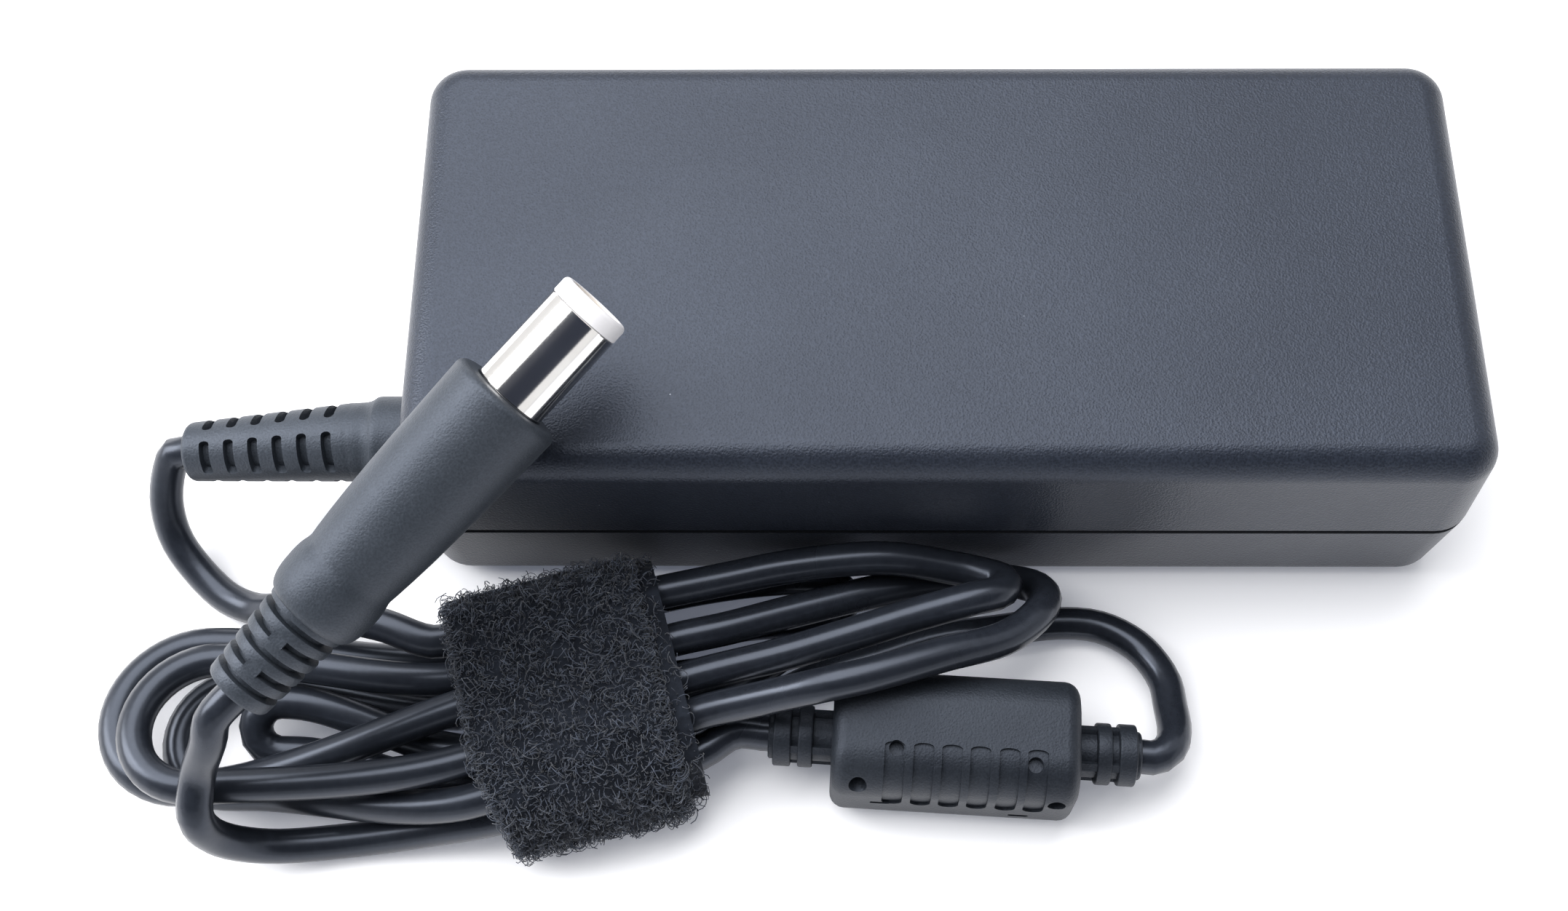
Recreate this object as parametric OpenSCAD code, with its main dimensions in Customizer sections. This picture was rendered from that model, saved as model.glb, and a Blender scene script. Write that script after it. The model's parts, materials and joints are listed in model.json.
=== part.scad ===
// Laptop power adapter: two-part case with its electronics, and an output cord
// wound in a hank that a hook-and-loop strap holds.
// Millimetres. Origin at the centre of the case's underside, +X towards the mains
// inlet, -Y towards the hank, +Z up.

/* [Case] */
// Length of the case
case_l = 108; // [106:0.5:120]
// Width of the case at the seam
case_w = 48.8; // [46:0.2:56]
// Height of the case
case_h = 28; // [27:0.5:34]
// Height of the seam between the two covers
seam_z = 14; // [13:0.25:15]
// Radius of the four upright corners
case_corner_r = 4; // [3.6:0.1:6]
// Radius of the rounded upper edge
top_edge_r = 3; // [2:0.1:3.4]
// Radius of the rounded lower edge
bottom_edge_r = 3.4; // [2:0.1:3.5]
// How far each side wall leans in from the seam to the top or the bottom
case_draft = 0.7; // [0:0.1:1]
// Thickness of the case walls
case_wall = 2.2; // [1.8:0.1:2.6]
// Visible gap at the seam
seam_gap = 0.3; // [0.2:0.05:0.5]
// Thickness of the tongue that lines up the two covers
tongue_t = 0.9; // [0.6:0.1:1.1]
// Height of the tongue above the seam
tongue_h = 1.6; // [1:0.1:2.4]
// Clearance beside the tongue
tongue_fit = 0.1; // [0.05:0.05:0.2]
// Length of the bare label recess in the underside
label_l = 80; // [60:1:84]
// Width of the bare label recess
label_w = 33; // [20:1:34]
// Depth of the bare label recess
label_depth = 0.3; // [0.2:0.05:0.5]

/* [Mains inlet] */
// Length of the inlet housing
inlet_l = 18; // [16:0.5:22]
// Depth of the recess that the mains connector enters
inlet_depth = 14; // [12:0.5:14.5]
// Radius of each of the recess's three lobes
inlet_lobe_r = 3.6; // [3.2:0.1:3.8]
// Wall above and below the lobes
inlet_wall = 0.8; // [0.5:0.1:1.2]
// Wall beside the lobes
inlet_cheek = 1.6; // [1:0.1:2]
// Distance between the two lower pins
inlet_pin_pitch = 10; // [9:0.25:10.5]
// Height of the upper pin above the lower pins
inlet_pin_rise = 4.6; // [4:0.1:4.8]
// Diameter of the contact pins
inlet_pin_d = 2.4; // [2:0.1:2.6]
// Length of the contact pins in the recess
inlet_pin_l = 10; // [8:0.5:11]
// Diameter of the legs that go down to the board
inlet_leg_d = 1.2; // [1:0.1:1.6]
// Width of the collar that holds the housing behind the case wall
inlet_collar = 1; // [0.6:0.1:1.4]
// How far the housing's face lies behind the end of the case
inlet_setback = 0.3; // [0.2:0.1:0.8]
// Clearance round the housing in the case wall
inlet_fit = 0.15; // [0.1:0.05:0.3]

/* [Circuit board] */
// Gap between the board's ends and the case walls
board_end_gap = 2.8; // [1.5:0.1:4]
// Gap between the board's sides and the case walls
board_side_gap = 2.2; // [1:0.1:3]
// Thickness of the circuit board
board_t = 1.6; // [1:0.1:2]
// Height of the board's underside above the case's underside
board_z = 6; // [5.6:0.1:6.4]
// Diameter of the posts that carry the board
post_d = 4; // [3:0.25:5]
// Distance from a post's centre to the board's end and side
post_inset = 3.5; // [3:0.25:4]
// Thickness of the two heat spreaders
spreader_t = 0.8; // [0.4:0.1:1]
// Length of the two heat spreaders
spreader_l = 84; // [70:1:86]
// Width of the two heat spreaders
spreader_w = 36; // [30:0.5:38]
// Depth of the flanges at the sides of the heat spreaders
spreader_flange = 2; // [1:0.25:2.2]
// Thickness of the insulation sheet under the board
sheet_t = 0.4; // [0.2:0.05:0.6]

/* [Components] */
// Diameter of the bulk capacitor, which lies on its side
bulk_d = 15; // [12:0.5:15.5]
// Length of the bulk capacitor
bulk_l = 26; // [20:0.5:27]
// Length of the transformer along the case
transformer_l = 22; // [18:0.5:23]
// Width of the transformer core
transformer_w = 18; // [14:0.5:20]
// Height of the transformer core
transformer_h = 15.5; // [12:0.5:16]
// Thickness of the transformer core's outer legs
transformer_leg = 4; // [3:0.25:5]
// Outer diameter of the common-mode choke's core
choke_d = 14; // [12:0.5:14.5]
// Hole in that core
choke_hole_d = 7; // [6:0.5:8]
// Height of that core
choke_h = 8; // [6:0.5:10]
// Thickness of a winding over its core
winding_t = 1.1; // [0.8:0.1:1.2]
// Gap between a winding and its core
winding_fit = 0.1; // [0.05:0.05:0.2]
// Thickness of the heat sink plates
sink_t = 1.5; // [1:0.1:2]
// Length of the heat sink plates
sink_l = 22; // [18:0.5:23]
// Height of the heat sink plates
sink_h = 14; // [12:0.5:15]
// Width of a transistor package
package_w = 10; // [9:0.1:10.5]
// Thickness of a transistor package
package_t = 4.4; // [4:0.1:4.6]
// Height of the moulded part of a transistor package
package_h = 9; // [8:0.1:9.5]
// Length of the legs below it
package_leg_l = 4; // [3:0.1:4.5]
// Height of the metal tab above it
package_tab_h = 2.5; // [1:0.1:3]
// Thickness of that tab
package_tab_t = 1.3; // [1:0.1:1.4]
// Width of the film capacitor
film_w = 8; // [6:0.5:8.5]
// Length of the film capacitor
film_l = 16; // [12:0.5:17]
// Height of the film capacitor
film_h = 14; // [10:0.5:15]
// Diameter of the inrush thermistor
thermistor_d = 10; // [8:0.5:11]
// Thickness of the disc parts
disc_t = 4; // [3:0.25:4.5]
// Diameter of the fuse
fuse_d = 5.2; // [4:0.1:5.4]
// Length of the fuse
fuse_l = 11; // [10:0.5:12]
// Diameter of the y capacitor
y_cap_d = 9; // [7:0.5:10]
// Width of the bridge rectifier
bridge_rect_w = 15; // [13:0.5:16]
// Height of the bridge rectifier's body
bridge_rect_h = 10; // [8:0.5:11]
// Length of the optocoupler
opto_l = 6.5; // [4.5:0.1:7]
// Width of the optocoupler
opto_w = 4.6; // [4:0.1:5]
// Height of the optocoupler
opto_h = 3.5; // [3:0.1:4]
// Side of the controller chip
chip_s = 5; // [4:0.1:5.4]
// Height of the controller chip
chip_h = 1.6; // [1:0.1:2]
// Diameter of the output capacitors
out_cap_d = 8; // [6.3:0.1:8.6]
// Height of the output capacitors
out_cap_h = 14; // [10:0.5:15.5]
// Gap between the output capacitors
out_cap_gap = 0.8; // [0.4:0.1:1]
// Diameter of the output choke's rod core
rod_d = 5; // [4:0.25:6]
// Height of the output choke's rod core
rod_h = 13; // [10:0.5:15]
// Height of the output choke's winding
rod_winding_h = 9; // [7:0.5:9.5]
// Diameter of an output wire
wire_d = 1.4; // [1:0.1:1.6]
// Length of cord jacket that shows inside the case
jacket_l = 1.5; // [1:0.1:2]

/* [Case strain relief] */
// Distance of the cord outlet from the case's middle, towards the hank
relief_offset = 14.4; // [12:0.2:15]
// Length of the smooth collar next to the case
relief_collar_l = 4; // [3:0.2:5]
// Diameter of the collar
relief_collar_d = 9.6; // [9:0.1:11]
// Length of the tapered throat between the collar and the slotted part
relief_throat_l = 2.4; // [1.6:0.2:4]
// Length of the slotted part
relief_body_l = 18; // [17.5:0.5:22]
// Diameter of the slotted part next to the throat
relief_big_d = 8.2; // [7.6:0.1:9]
// Diameter of the slotted part at the free end
relief_small_d = 6.2; // [6:0.1:7]
// How far the free end droops, in degrees
relief_droop = 8; // [0:0.5:10]
// Width of a slot
relief_slot_w = 1.1; // [0.8:0.1:1.4]
// Depth of a slot
relief_slot_depth = 1; // [0.6:0.1:1.2]
// Distance from one slot to the next
relief_slot_pitch = 2.7; // [2.4:0.1:2.8]
// Slots in a row
relief_slot_count = 6; // [4:1:6]
// Arc that each slot spans, in degrees
relief_slot_arc = 66; // [50:1:72]
// Diameter of the neck that sits in the case wall
relief_neck_d = 7.4; // [6.5:0.1:8]
// Clearance round the neck
relief_fit = 0.1; // [0.05:0.05:0.2]
// Diameter of the flange behind the case wall
relief_flange_d = 10.4; // [9:0.1:11]
// Thickness of that flange
relief_flange_t = 1.4; // [1:0.1:1.8]

/* [Cord] */
// Diameter of the output cord
cord_d = 3.5; // [3:0.1:3.6]
// Clearance between the cord and a bore that it runs through
cord_fit = 0.3; // [0.2:0.05:0.4]

/* [Ferrite] */
// Length of the overmoulded body
ferrite_l = 24.5; // [23:0.5:25]
// Width and height of the overmoulded body
ferrite_w = 12.8; // [12:0.1:13]
// Radius of the body's long edges
ferrite_edge_r = 4.2; // [3:0.1:4.6]
// Chamfer at the body's ends
ferrite_chamfer = 1.2; // [0.6:0.1:1.8]
// Diameter of the ferrite core
core_d = 9.6; // [8:0.1:10]
// Length of the ferrite core
core_l = 21; // [18:0.5:22]
// Clearance between the core and the overmould
core_fit = 0.05; // [0.02:0.01:0.1]
// Diameter of the boot rings
boot_ring_d = 6.2; // [5.6:0.1:7]
// Diameter of the neck between the rings
boot_neck_d = 4.8; // [4.6:0.1:5.2]
// Length of each boot
boot_l = 6.4; // [5:0.1:6.8]
// Width of a boot ring
boot_ring_w = 1.7; // [1.2:0.1:1.8]
// Diameter of the pits that the mould's locating pins leave
pit_d = 1.5; // [1:0.1:1.8]
// Depth of those pits
pit_depth = 1.1; // [0.6:0.1:1.4]
// Turn of the ferrite in plan, in degrees
ferrite_turn = -3.4; // [-4:0.1:-3]

/* [Plug] */
// Outer diameter of the barrel
barrel_d = 7.4; // [7:0.1:7.6]
// Wall of the barrel shell
barrel_wall = 0.5; // [0.3:0.05:0.6]
// Length of the barrel in front of the grip, with its tip ring
barrel_l = 12; // [10:0.25:12.5]
// Length of the white tip ring
tip_l = 1.8; // [1.2:0.1:2.4]
// Bore of the plug
plug_bore_d = 5; // [4.8:0.1:5.2]
// Wall of the inner contact
contact_wall = 0.3; // [0.2:0.05:0.4]
// Diameter of the centre pin
centre_pin_d = 0.9; // [0.6:0.1:1]
// How far the centre pin ends behind the tip
pin_setback = 1.5; // [1:0.1:3]
// How far the barrel parts reach into the grip
barrel_root = 9; // [7:0.5:12]
// Diameter of the barrel inside the grip
root_d = 7; // [6.9:0.05:7]
// Clearance between the plug's nested parts
plug_fit = 0.05; // [0.02:0.01:0.08]
// Length of the straight grip
grip_l = 23; // [20:0.5:28]
// Diameter of the grip at its front
grip_front_d = 11.6; // [11:0.1:12.4]
// Diameter of the grip at its back
grip_back_d = 10.8; // [10.2:0.1:11]
// Radius of the grip's rounded front edge
grip_edge_r = 0.8; // [0.4:0.1:1.2]
// Length of the rounded shoulder behind the grip
shoulder_l = 4.6; // [4:0.1:6]
// Diameter of the plug's strain relief next to the shoulder
tail_big_d = 8.2; // [7.4:0.1:8.6]
// Diameter of the plug's strain relief at the cord
tail_small_d = 6.8; // [6.4:0.1:7]
// Length of the plug's strain relief
tail_l = 10; // [9.6:0.1:12]
// Number of grooves in the plug's strain relief
groove_count = 5; // [3:1:5]
// Width of a groove
groove_w = 0.7; // [0.5:0.1:1]
// Depth of a groove
groove_depth = 1; // [0.6:0.1:1.1]
// Distance from one groove to the next
groove_pitch = 1.8; // [1.6:0.1:2]
// Width of the bridges across every second groove
bridge_w = 1.6; // [1:0.1:2]
// Heading of the plug in plan, in degrees from +X
plug_heading = 43.6; // [42:0.2:45]
// Rise of the plug above level, in degrees
plug_rise = 19.6; // [18:0.2:21]
// Gap between the grip and the case edge that carries it
seat_gap = 0.3; // [0.2:0.05:0.4]

/* [Strap] */
// Width of the strap
strap_w = 20; // [16:0.5:20]
// Thickness of one layer of the strap
strap_t = 0.95; // [0.8:0.05:1.3]
// Room between the strap and the cords
strap_room = 0.3; // [0.2:0.05:0.5]
// How far the outer layer lies towards the cord end
strap_slip = 2.5; // [1:0.1:3]
// Height of the free end's cut edge above the surface that the hank lies on
tab_end_z = 1.5; // [1:0.1:6]
// Gap between the free end and the layers beside it
tab_gap = 0.3; // [0.3:0.05:0.6]
// Gap between the free end's hinge line and the fixed part of its layer
swing_gap = 2; // [1.8:0.1:3]

/* [Hidden] */

smooth = 64;
shell_smooth = 32;
eps = 0.01;

// ---- Places worked out from the sizes ----
end_x = case_l / 2;
side_y = case_w / 2;
cavity_top = case_h - case_wall;
board_top = board_z + board_t;
board_l = case_l - 2 * (case_wall + board_end_gap);
board_w = case_w - 2 * (case_wall + board_side_gap);
sheet_z = case_wall + spreader_t;
inlet_h = 2 * (inlet_lobe_r + inlet_wall) + inlet_pin_rise;
inlet_w = inlet_pin_pitch + 2 * (inlet_lobe_r + inlet_cheek);
inlet_face_x = end_x - inlet_setback;
inlet_back_x = inlet_face_x - inlet_l;
lower_pin_z = board_top + inlet_wall + inlet_lobe_r;

// A point given from the case's upright corner beside the cord outlet: along the
// case, out from its side, and up from the surface that it stands on
function beside(p) = [p[0] - end_x, -side_y - p[1], p[2]];

// ---- Plug: its axis, and the place where it leans on the case's top edge ----
plug_dir = [
    cos(plug_rise) * cos(plug_heading),
    cos(plug_rise) * sin(plug_heading),
    sin(plug_rise)
];
// Share of the grip's length, from its front, at which the edge carries it
seat_share = 0.35;
seat_r = (grip_front_d * (1 - seat_share) + grip_back_d * seat_share) / 2;
edge_centre_y = -side_y + case_draft + top_edge_r;
edge_centre_z = case_h - top_edge_r;
seat_reach = (top_edge_r + seat_r + seat_gap) * norm([plug_dir[1], plug_dir[2]]);
plug_x = 12.9 - end_x;
plug_y = 4.7 - side_y;
plug_z = edge_centre_z + (seat_reach + (plug_y - edge_centre_y) * plug_dir[2]) / plug_dir[1];
plug_at = [plug_x, plug_y, plug_z];
plug_back = grip_l + shoulder_l + tail_l;
plug_end = plug_at - plug_back * plug_dir;

// ---- Case strain relief: where its free end lies ----
relief_root = [-end_x, -relief_offset, seam_z];
relief_straight = relief_collar_l + relief_throat_l;
relief_dir = [-cos(relief_droop), 0, -sin(relief_droop)];
relief_end = relief_root + [-relief_straight, 0, 0] + relief_body_l * relief_dir;

// ---- Ferrite: its axis ----
ferrite_at = beside([55.3, 20.1, ferrite_w / 2]);
ferrite_dir = [cos(ferrite_turn), sin(ferrite_turn), 0];
ferrite_reach = ferrite_l / 2 + boot_l;
ferrite_bore = cord_d + cord_fit;

// ---- Mains inlet: its details ----
inlet_web = 2.4;
inlet_tail_l = 2.2;
inlet_leg_step = 2.4;
pin_fit = 0.05;

// ---- Components: gaps and places on the board ----
part_gap = 0.8;
leg_l = 1;
lead_d = 0.8;
fuse_cap_step = 0.4;
thermistor_y = 14.5;
film_end_gap = 3.2;
bulk_gap = 6.2;
bulk_y = 11.5;
choke_at = [inlet_back_x - 14.2, -8];
winding_arc = 140;
bridge_rect_at = [inlet_back_x - 25.7, -11.5];
sink_y = -8;
primary_sink_x = inlet_back_x - 34.9;
output_sink_x = 27.5 - end_x;
package_y = -9;
package_pitch = 2.54;
transformer_x = -11.5;
transformer_yoke = 3;
centre_leg_d = 7;
y_cap_y = -14.5;
opto_at = [-16, 13.5];
chip_at = [-4.5, 14];
out_cap_at = [23.4 - end_x, 14];
rod_at = [16 - end_x, -8];
wire_pitch = 1.8;
wire_run = 2;
sheet_fit = 0.2;

// ---- Case strain relief: its details ----
relief_slot_start = 1.2;
relief_row_turn = -40;
relief_wall_gap = 0.3;
relief_neck_l = case_wall + relief_wall_gap;
relief_inner_x = -end_x + relief_neck_l + relief_flange_t;

// ---- Ferrite and plug: their details ----
pits_x = [-6, 8];
pit_y = 2.4;
contact_setback = 0.3;
root_step = 0.1;
pin_root = 3;
groove_start = 0.6;
bridge_turn = 18;

// ---- Hank: four turns, in real sizes ----
turns = 4;
// The strap's middle, from the case's corner, and the turn of its axis in plan
waist_at = [18, 16.4, 0];
waist_turn = 15;
// Half the length over which the cords run straight in the strap
waist_reach = 10;
// Places of the cords in the waist, as [across, up]: each turn goes out to the right
// and comes home to the left; the last way out is the cord's on its way to the ferrite
out_left = [[10, 9], [5.8, 7.8], [2.5, 10], [3.5, 3], [-4.8, 3]];
out_right = [[9, 10], [6, 3.5], [4, 9], [2, 3], [-5, 3]];
home_right = [[-0.5, 9.5], [10, 6], [-4.5, 10], [-1, 5.5]];
home_left = [[-3, 10], [10, 3], [-7, 9], [-1.2, 4.9]];
// Places in the waist of the cord that comes from the ferrite
ferrite_left_slot = [-8.4, 5.2];
ferrite_right_slot = [-7.5, 6.5];
// The folds on the right, as [along the case, out from its side, up]: two long flat
// ones in the first and third turn, and a short upright one beneath each
right_loops = [
    [
        [32.4, 3.7, 10.3], [38.4, 2.8, 11.3], [46.4, 2.15, 12.1], [50, 2.15, 11.9], [54.9, 2.4, 10.4],
        [58.1, 3, 10.2], [60.6, 4.3, 11.3], [60, 6, 12.8], [57.4, 6.9, 13.4], [51, 8.4, 12.3],
        [46.5, 9.6, 11.5], [38.4, 11.8, 10.5]
    ],
    [
        [33, 6.1, 2.3], [38, 5.4, 1.8], [42.5, 5.3, 2], [44.2, 4.3, 3], [44.1, 2.9, 4.8],
        [42, 2.15, 5.9], [36, 2.3, 6.2]
    ],
    [
        [32.4, 8.6, 9], [38.4, 6.8, 8.6], [46.8, 4.4, 8], [50.5, 3.3, 7], [53.2, 2.6, 6.2],
        [58, 2.15, 5.6], [61.5, 2.15, 5.7], [64, 3.1, 6.7], [64.9, 5, 9], [64.3, 7.2, 11],
        [62.7, 9, 11.6], [60.1, 10.9, 12.5], [54.4, 13, 14.2], [46.4, 15.6, 15.2], [42, 16.5, 14.9],
        [37, 17, 12.8]
    ],
    [
        [32.4, 10.8, 2.1], [35.2, 9.8, 1.9], [37.1, 9.5, 2.9], [37.7, 10, 4.6], [36.4, 11.4, 5.9],
        [32.6, 13.2, 5.9]
    ]
];
// Reach of each turn's left end along the case, and where its half circle begins and
// ends, as [out from the case's side, up]
left_reach = [-27, -30.5, -24.5, -16];
left_first = [[25.6, 10], [8.6, 3.5], [24.1, 1.8], [15.6, 6]];
left_second = [[11.6, 7.5], [24.6, 5.5], [12.6, 2], [20.1, 3]];
// Slope in plan of the runs into the half circles
left_slope = 0.05;
// How strongly a run keeps its direction at its ends; the points of a run, of a half
// circle, and of each stretch of a fold
run_pull = 0.9;
run_steps = 2;
turn_steps = 6;
curve_steps = 2;
// Points between two rings for the gap's measure, and the length of cord between
// two points below which they count as neighbours
gap_steps = 8;
gap_apart = 9.5;

// ---- Free stretches of the cord, chosen by hand, from the case's corner ----
// From the strain relief down and back to the hank
lead_route = [
    [-26.9, -9.1, 9.9], [-27.8, -6.3, 6.9], [-27.2, -3.2, 4], [-24.9, -0.2, 2.3], [-21.6, 2.7, 1.8],
    [-18.2, 4.3, 2.6], [-15, 5.2, 4.9], [-11.5, 6.2, 7], [-7, 7.2, 8.2], [-3, 8.2, 8.6]
];
// From the hank round to the ferrite
arc_route = [
    [41.5, 11.6, 1.8], [47.5, 9.6, 1.8], [54, 7.4, 1.8], [61, 6.3, 1.8], [67, 5.5, 1.8], [71.5, 5.9, 1.8],
    [75.3, 8.2, 2.2], [77.6, 12, 3], [77.9, 15.2, 3.9], [77.9, 18.2, 5.1], [77.2, 20.2, 6.1]
];
// From the strap round and up to the plug
plug_route = [
    [2, 28.1, 3], [-6, 28.9, 1.8], [-13.5, 29.9, 3.5], [-17.5, 30.1, 8],
    [-18.5, 29.1, 12.5], [-18, 25.6, 15], [-16, 23.6, 19.5]
];

// ---- Strap: the hinge line of its free end, as [across, up] ----
tab_lift = cord_d / 2 + strap_room + strap_t + tab_gap;
tab_hinge = home_right[2] + [0, tab_lift + strap_t / 2];
outer_layer_z = 7;
outer_layer_end = 10;
tab_reach = 20;

// ---- Case ----
module rounded_plan(l, w, r) {
    square([l - 2 * r, w], center = true);
    square([l, w - 2 * r], center = true);
    for (sx = [-1, 1], sy = [-1, 1])
        translate([sx * (l / 2 - r), sy * (w / 2 - r)]) circle(r, $fn = smooth);
}

module at_corners(inset) {
    reach = case_corner_r + inset;
    for (sx = [-1, 1], sy = [-1, 1])
        translate([sx * (end_x - reach), sy * (side_y - reach), 0]) children();
}

// One corner of the case's rounded upper or lower edge
module edge_corner(edge_r) {
    rotate_extrude($fn = shell_smooth)
        intersection() {
            translate([case_corner_r - edge_r, 0]) circle(edge_r, $fn = shell_smooth);
            translate([0, -edge_r]) square([case_corner_r, 2 * edge_r]);
        }
}

// Half of the case's outside, from the height seam_at to the rounded edge
module outer_half(seam_at, edge_at, edge_r) {
    hull() {
        at_corners(0) translate([0, 0, seam_at]) cylinder(r = case_corner_r, h = eps, $fn = shell_smooth);
        at_corners(case_draft) translate([0, 0, edge_at]) edge_corner(edge_r);
    }
}

// Half of the case's inside, from the seam to the inner face at floor_at
module inner_half(floor_at) {
    r = case_corner_r - case_wall;
    hull() {
        at_corners(0) translate([0, 0, seam_z - eps / 2]) cylinder(r = r, h = eps, $fn = shell_smooth);
        at_corners(case_draft) translate([0, 0, floor_at - eps / 2]) cylinder(r = r, h = eps, $fn = shell_smooth);
    }
}

// Plan of the space that the tongue fills, made wider by grow
module tongue_plan(grow) {
    band = case_wall - tongue_t - grow;
    rounded_plan(case_l - 2 * band, case_w - 2 * band, case_corner_r - band);
}

module cavity_plan() {
    rounded_plan(case_l - 2 * case_wall, case_w - 2 * case_wall, case_corner_r - case_wall);
}

module case_openings() {
    translate([-end_x - 1, -relief_offset, seam_z]) rotate([0, 90, 0])
        cylinder(d = relief_neck_d + 2 * relief_fit, h = case_wall + 2, $fn = smooth);
    translate([end_x - case_wall - 1, -inlet_w / 2 - inlet_fit, board_top - inlet_fit])
        cube([case_wall + 2, inlet_w + 2 * inlet_fit, inlet_h + 2 * inlet_fit]);
}

module top_cover() {
    color("#1d1d1f")
    difference() {
        outer_half(seam_z + seam_gap, case_h - top_edge_r, top_edge_r);
        inner_half(cavity_top);
        translate([0, 0, seam_z - 1]) linear_extrude(tongue_h + 1) tongue_plan(tongue_fit);
        case_openings();
    }
}

module bottom_cover() {
    color("#19191b")
    difference() {
        union() {
            difference() {
                outer_half(seam_z - eps, bottom_edge_r, bottom_edge_r);
                inner_half(case_wall);
            }
            translate([0, 0, seam_z - 1]) linear_extrude(tongue_h + 1)
                difference() {
                    tongue_plan(0);
                    cavity_plan();
                }
            board_posts();
        }
        translate([-label_l / 2, -label_w / 2, -1]) cube([label_l, label_w, label_depth + 1]);
        case_openings();
    }
}

module board_posts() {
    for (sx = [-1, 1], sy = [-1, 1])
        translate([sx * (board_l / 2 - post_inset), sy * (board_w / 2 - post_inset), case_wall / 2])
            cylinder(d = post_d, h = board_z - case_wall / 2, $fn = smooth);
}

// ---- Mains inlet ----
inlet_pins_at = [
    [-inlet_pin_pitch / 2, lower_pin_z, inlet_tail_l],
    [inlet_pin_pitch / 2, lower_pin_z, inlet_tail_l],
    [0, lower_pin_z + inlet_pin_rise, inlet_tail_l + inlet_leg_step]
];

module inlet_recess() {
    half = inlet_pin_pitch / 2;
    for (x = [-half, half]) translate([x, 0]) circle(inlet_lobe_r, $fn = smooth);
    translate([0, inlet_pin_rise]) circle(inlet_lobe_r, $fn = smooth);
    polygon([[-half, -inlet_web], [half, -inlet_web], [half, 0], [0, inlet_pin_rise], [-half, 0]]);
}

module inlet_housing() {
    collar_x = end_x - case_wall - case_draft - inlet_fit - inlet_collar;
    color("#161617")
    difference() {
        union() {
            translate([inlet_back_x, -inlet_w / 2, board_top]) cube([inlet_l, inlet_w, inlet_h]);
            translate([collar_x, -inlet_w / 2 - inlet_collar, board_top])
                cube([inlet_collar, inlet_w + 2 * inlet_collar, inlet_h + inlet_collar]);
        }
        translate([inlet_face_x - inlet_depth, 0, lower_pin_z]) rotate([90, 0, 90])
            linear_extrude(inlet_depth + 1) inlet_recess();
        for (p = inlet_pins_at)
            translate([inlet_back_x - 1, p[0], p[1]]) rotate([0, 90, 0])
                cylinder(d = inlet_pin_d + 2 * pin_fit, h = inlet_l, $fn = smooth);
    }
}

module inlet_pins() {
    floor_x = inlet_face_x - inlet_depth;
    color("#c9c4b8")
    for (p = inlet_pins_at) {
        back_x = inlet_back_x - p[2];
        tip_x = floor_x + inlet_pin_l - inlet_pin_d / 2;
        translate([back_x, p[0], p[1]]) rotate([0, 90, 0])
            cylinder(d = inlet_pin_d, h = tip_x - back_x, $fn = smooth);
        translate([tip_x, p[0], p[1]]) sphere(d = inlet_pin_d, $fn = smooth);
        translate([back_x + inlet_leg_d, p[0], board_top])
            cylinder(d = inlet_leg_d, h = p[1] - board_top, $fn = smooth);
    }
}

// ---- Board and heat spreaders ----
module circuit_board() {
    color("#2f5d3a")
    translate([-board_l / 2, -board_w / 2, board_z]) cube([board_l, board_w, board_t]);
}

module heat_spreader() {
    inner_w = spreader_w - 2 * spreader_t;
    difference() {
        translate([-spreader_l / 2, -spreader_w / 2, 0])
            cube([spreader_l, spreader_w, spreader_t + spreader_flange]);
        translate([-spreader_l / 2 - 1, -inner_w / 2, spreader_t])
            cube([spreader_l + 2, inner_w, spreader_flange + 1]);
    }
}

module upper_heat_spreader() {
    color("#b8babd")
    translate([0, 0, cavity_top]) mirror([0, 0, 1]) heat_spreader();
}

module lower_heat_spreader() {
    color("#b8babd")
    translate([0, 0, case_wall]) heat_spreader();
}

module insulation_sheet() {
    sheet_w = spreader_w - 2 * (spreader_t + sheet_fit);
    color("#d8b24a")
    translate([-spreader_l / 2, -sheet_w / 2, sheet_z]) cube([spreader_l, sheet_w, sheet_t]);
}

// ---- Components on the board ----
module lying(d, l) {
    rotate([0, 90, 0]) cylinder(d = d, h = l, center = true, $fn = smooth);
}

module fuse() {
    cap_l = fuse_l / 4;
    color("#e4ded0")
    translate([inlet_back_x + part_gap + fuse_l / 2, inlet_w / 2 + part_gap + fuse_d / 2, board_top + fuse_d / 2]) {
        lying(fuse_d - 2 * fuse_cap_step, fuse_l);
        for (side = [-1, 1]) translate([side * (fuse_l - cap_l) / 2, 0, 0]) lying(fuse_d, cap_l);
    }
}

// A disc that stands on its edge on two legs, with its axis along X
module standing_disc(d) {
    lying(d, disc_t);
    for (side = [-1, 1])
        translate([0, side * d / 4, -d / 2 - leg_l]) cylinder(d = lead_d, h = d / 2 + leg_l, $fn = smooth);
}

module inrush_thermistor() {
    color("#3d5a46")
    translate([inlet_back_x - part_gap - disc_t / 2, thermistor_y, board_top + leg_l + thermistor_d / 2])
        standing_disc(thermistor_d);
}

module film_capacitor() {
    color("#c8a23a")
    translate([end_x - case_wall - film_end_gap - film_l, -inlet_w / 2 - part_gap - film_w, board_top])
        cube([film_l, film_w, film_h]);
}

module choke_core() {
    color("#4a4f55")
    translate([choke_at[0], choke_at[1], board_top + winding_t + winding_fit])
        difference() {
            cylinder(d = choke_d, h = choke_h, $fn = smooth);
            translate([0, 0, -1]) cylinder(d = choke_hole_d, h = choke_h + 2, $fn = smooth);
        }
}

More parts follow.
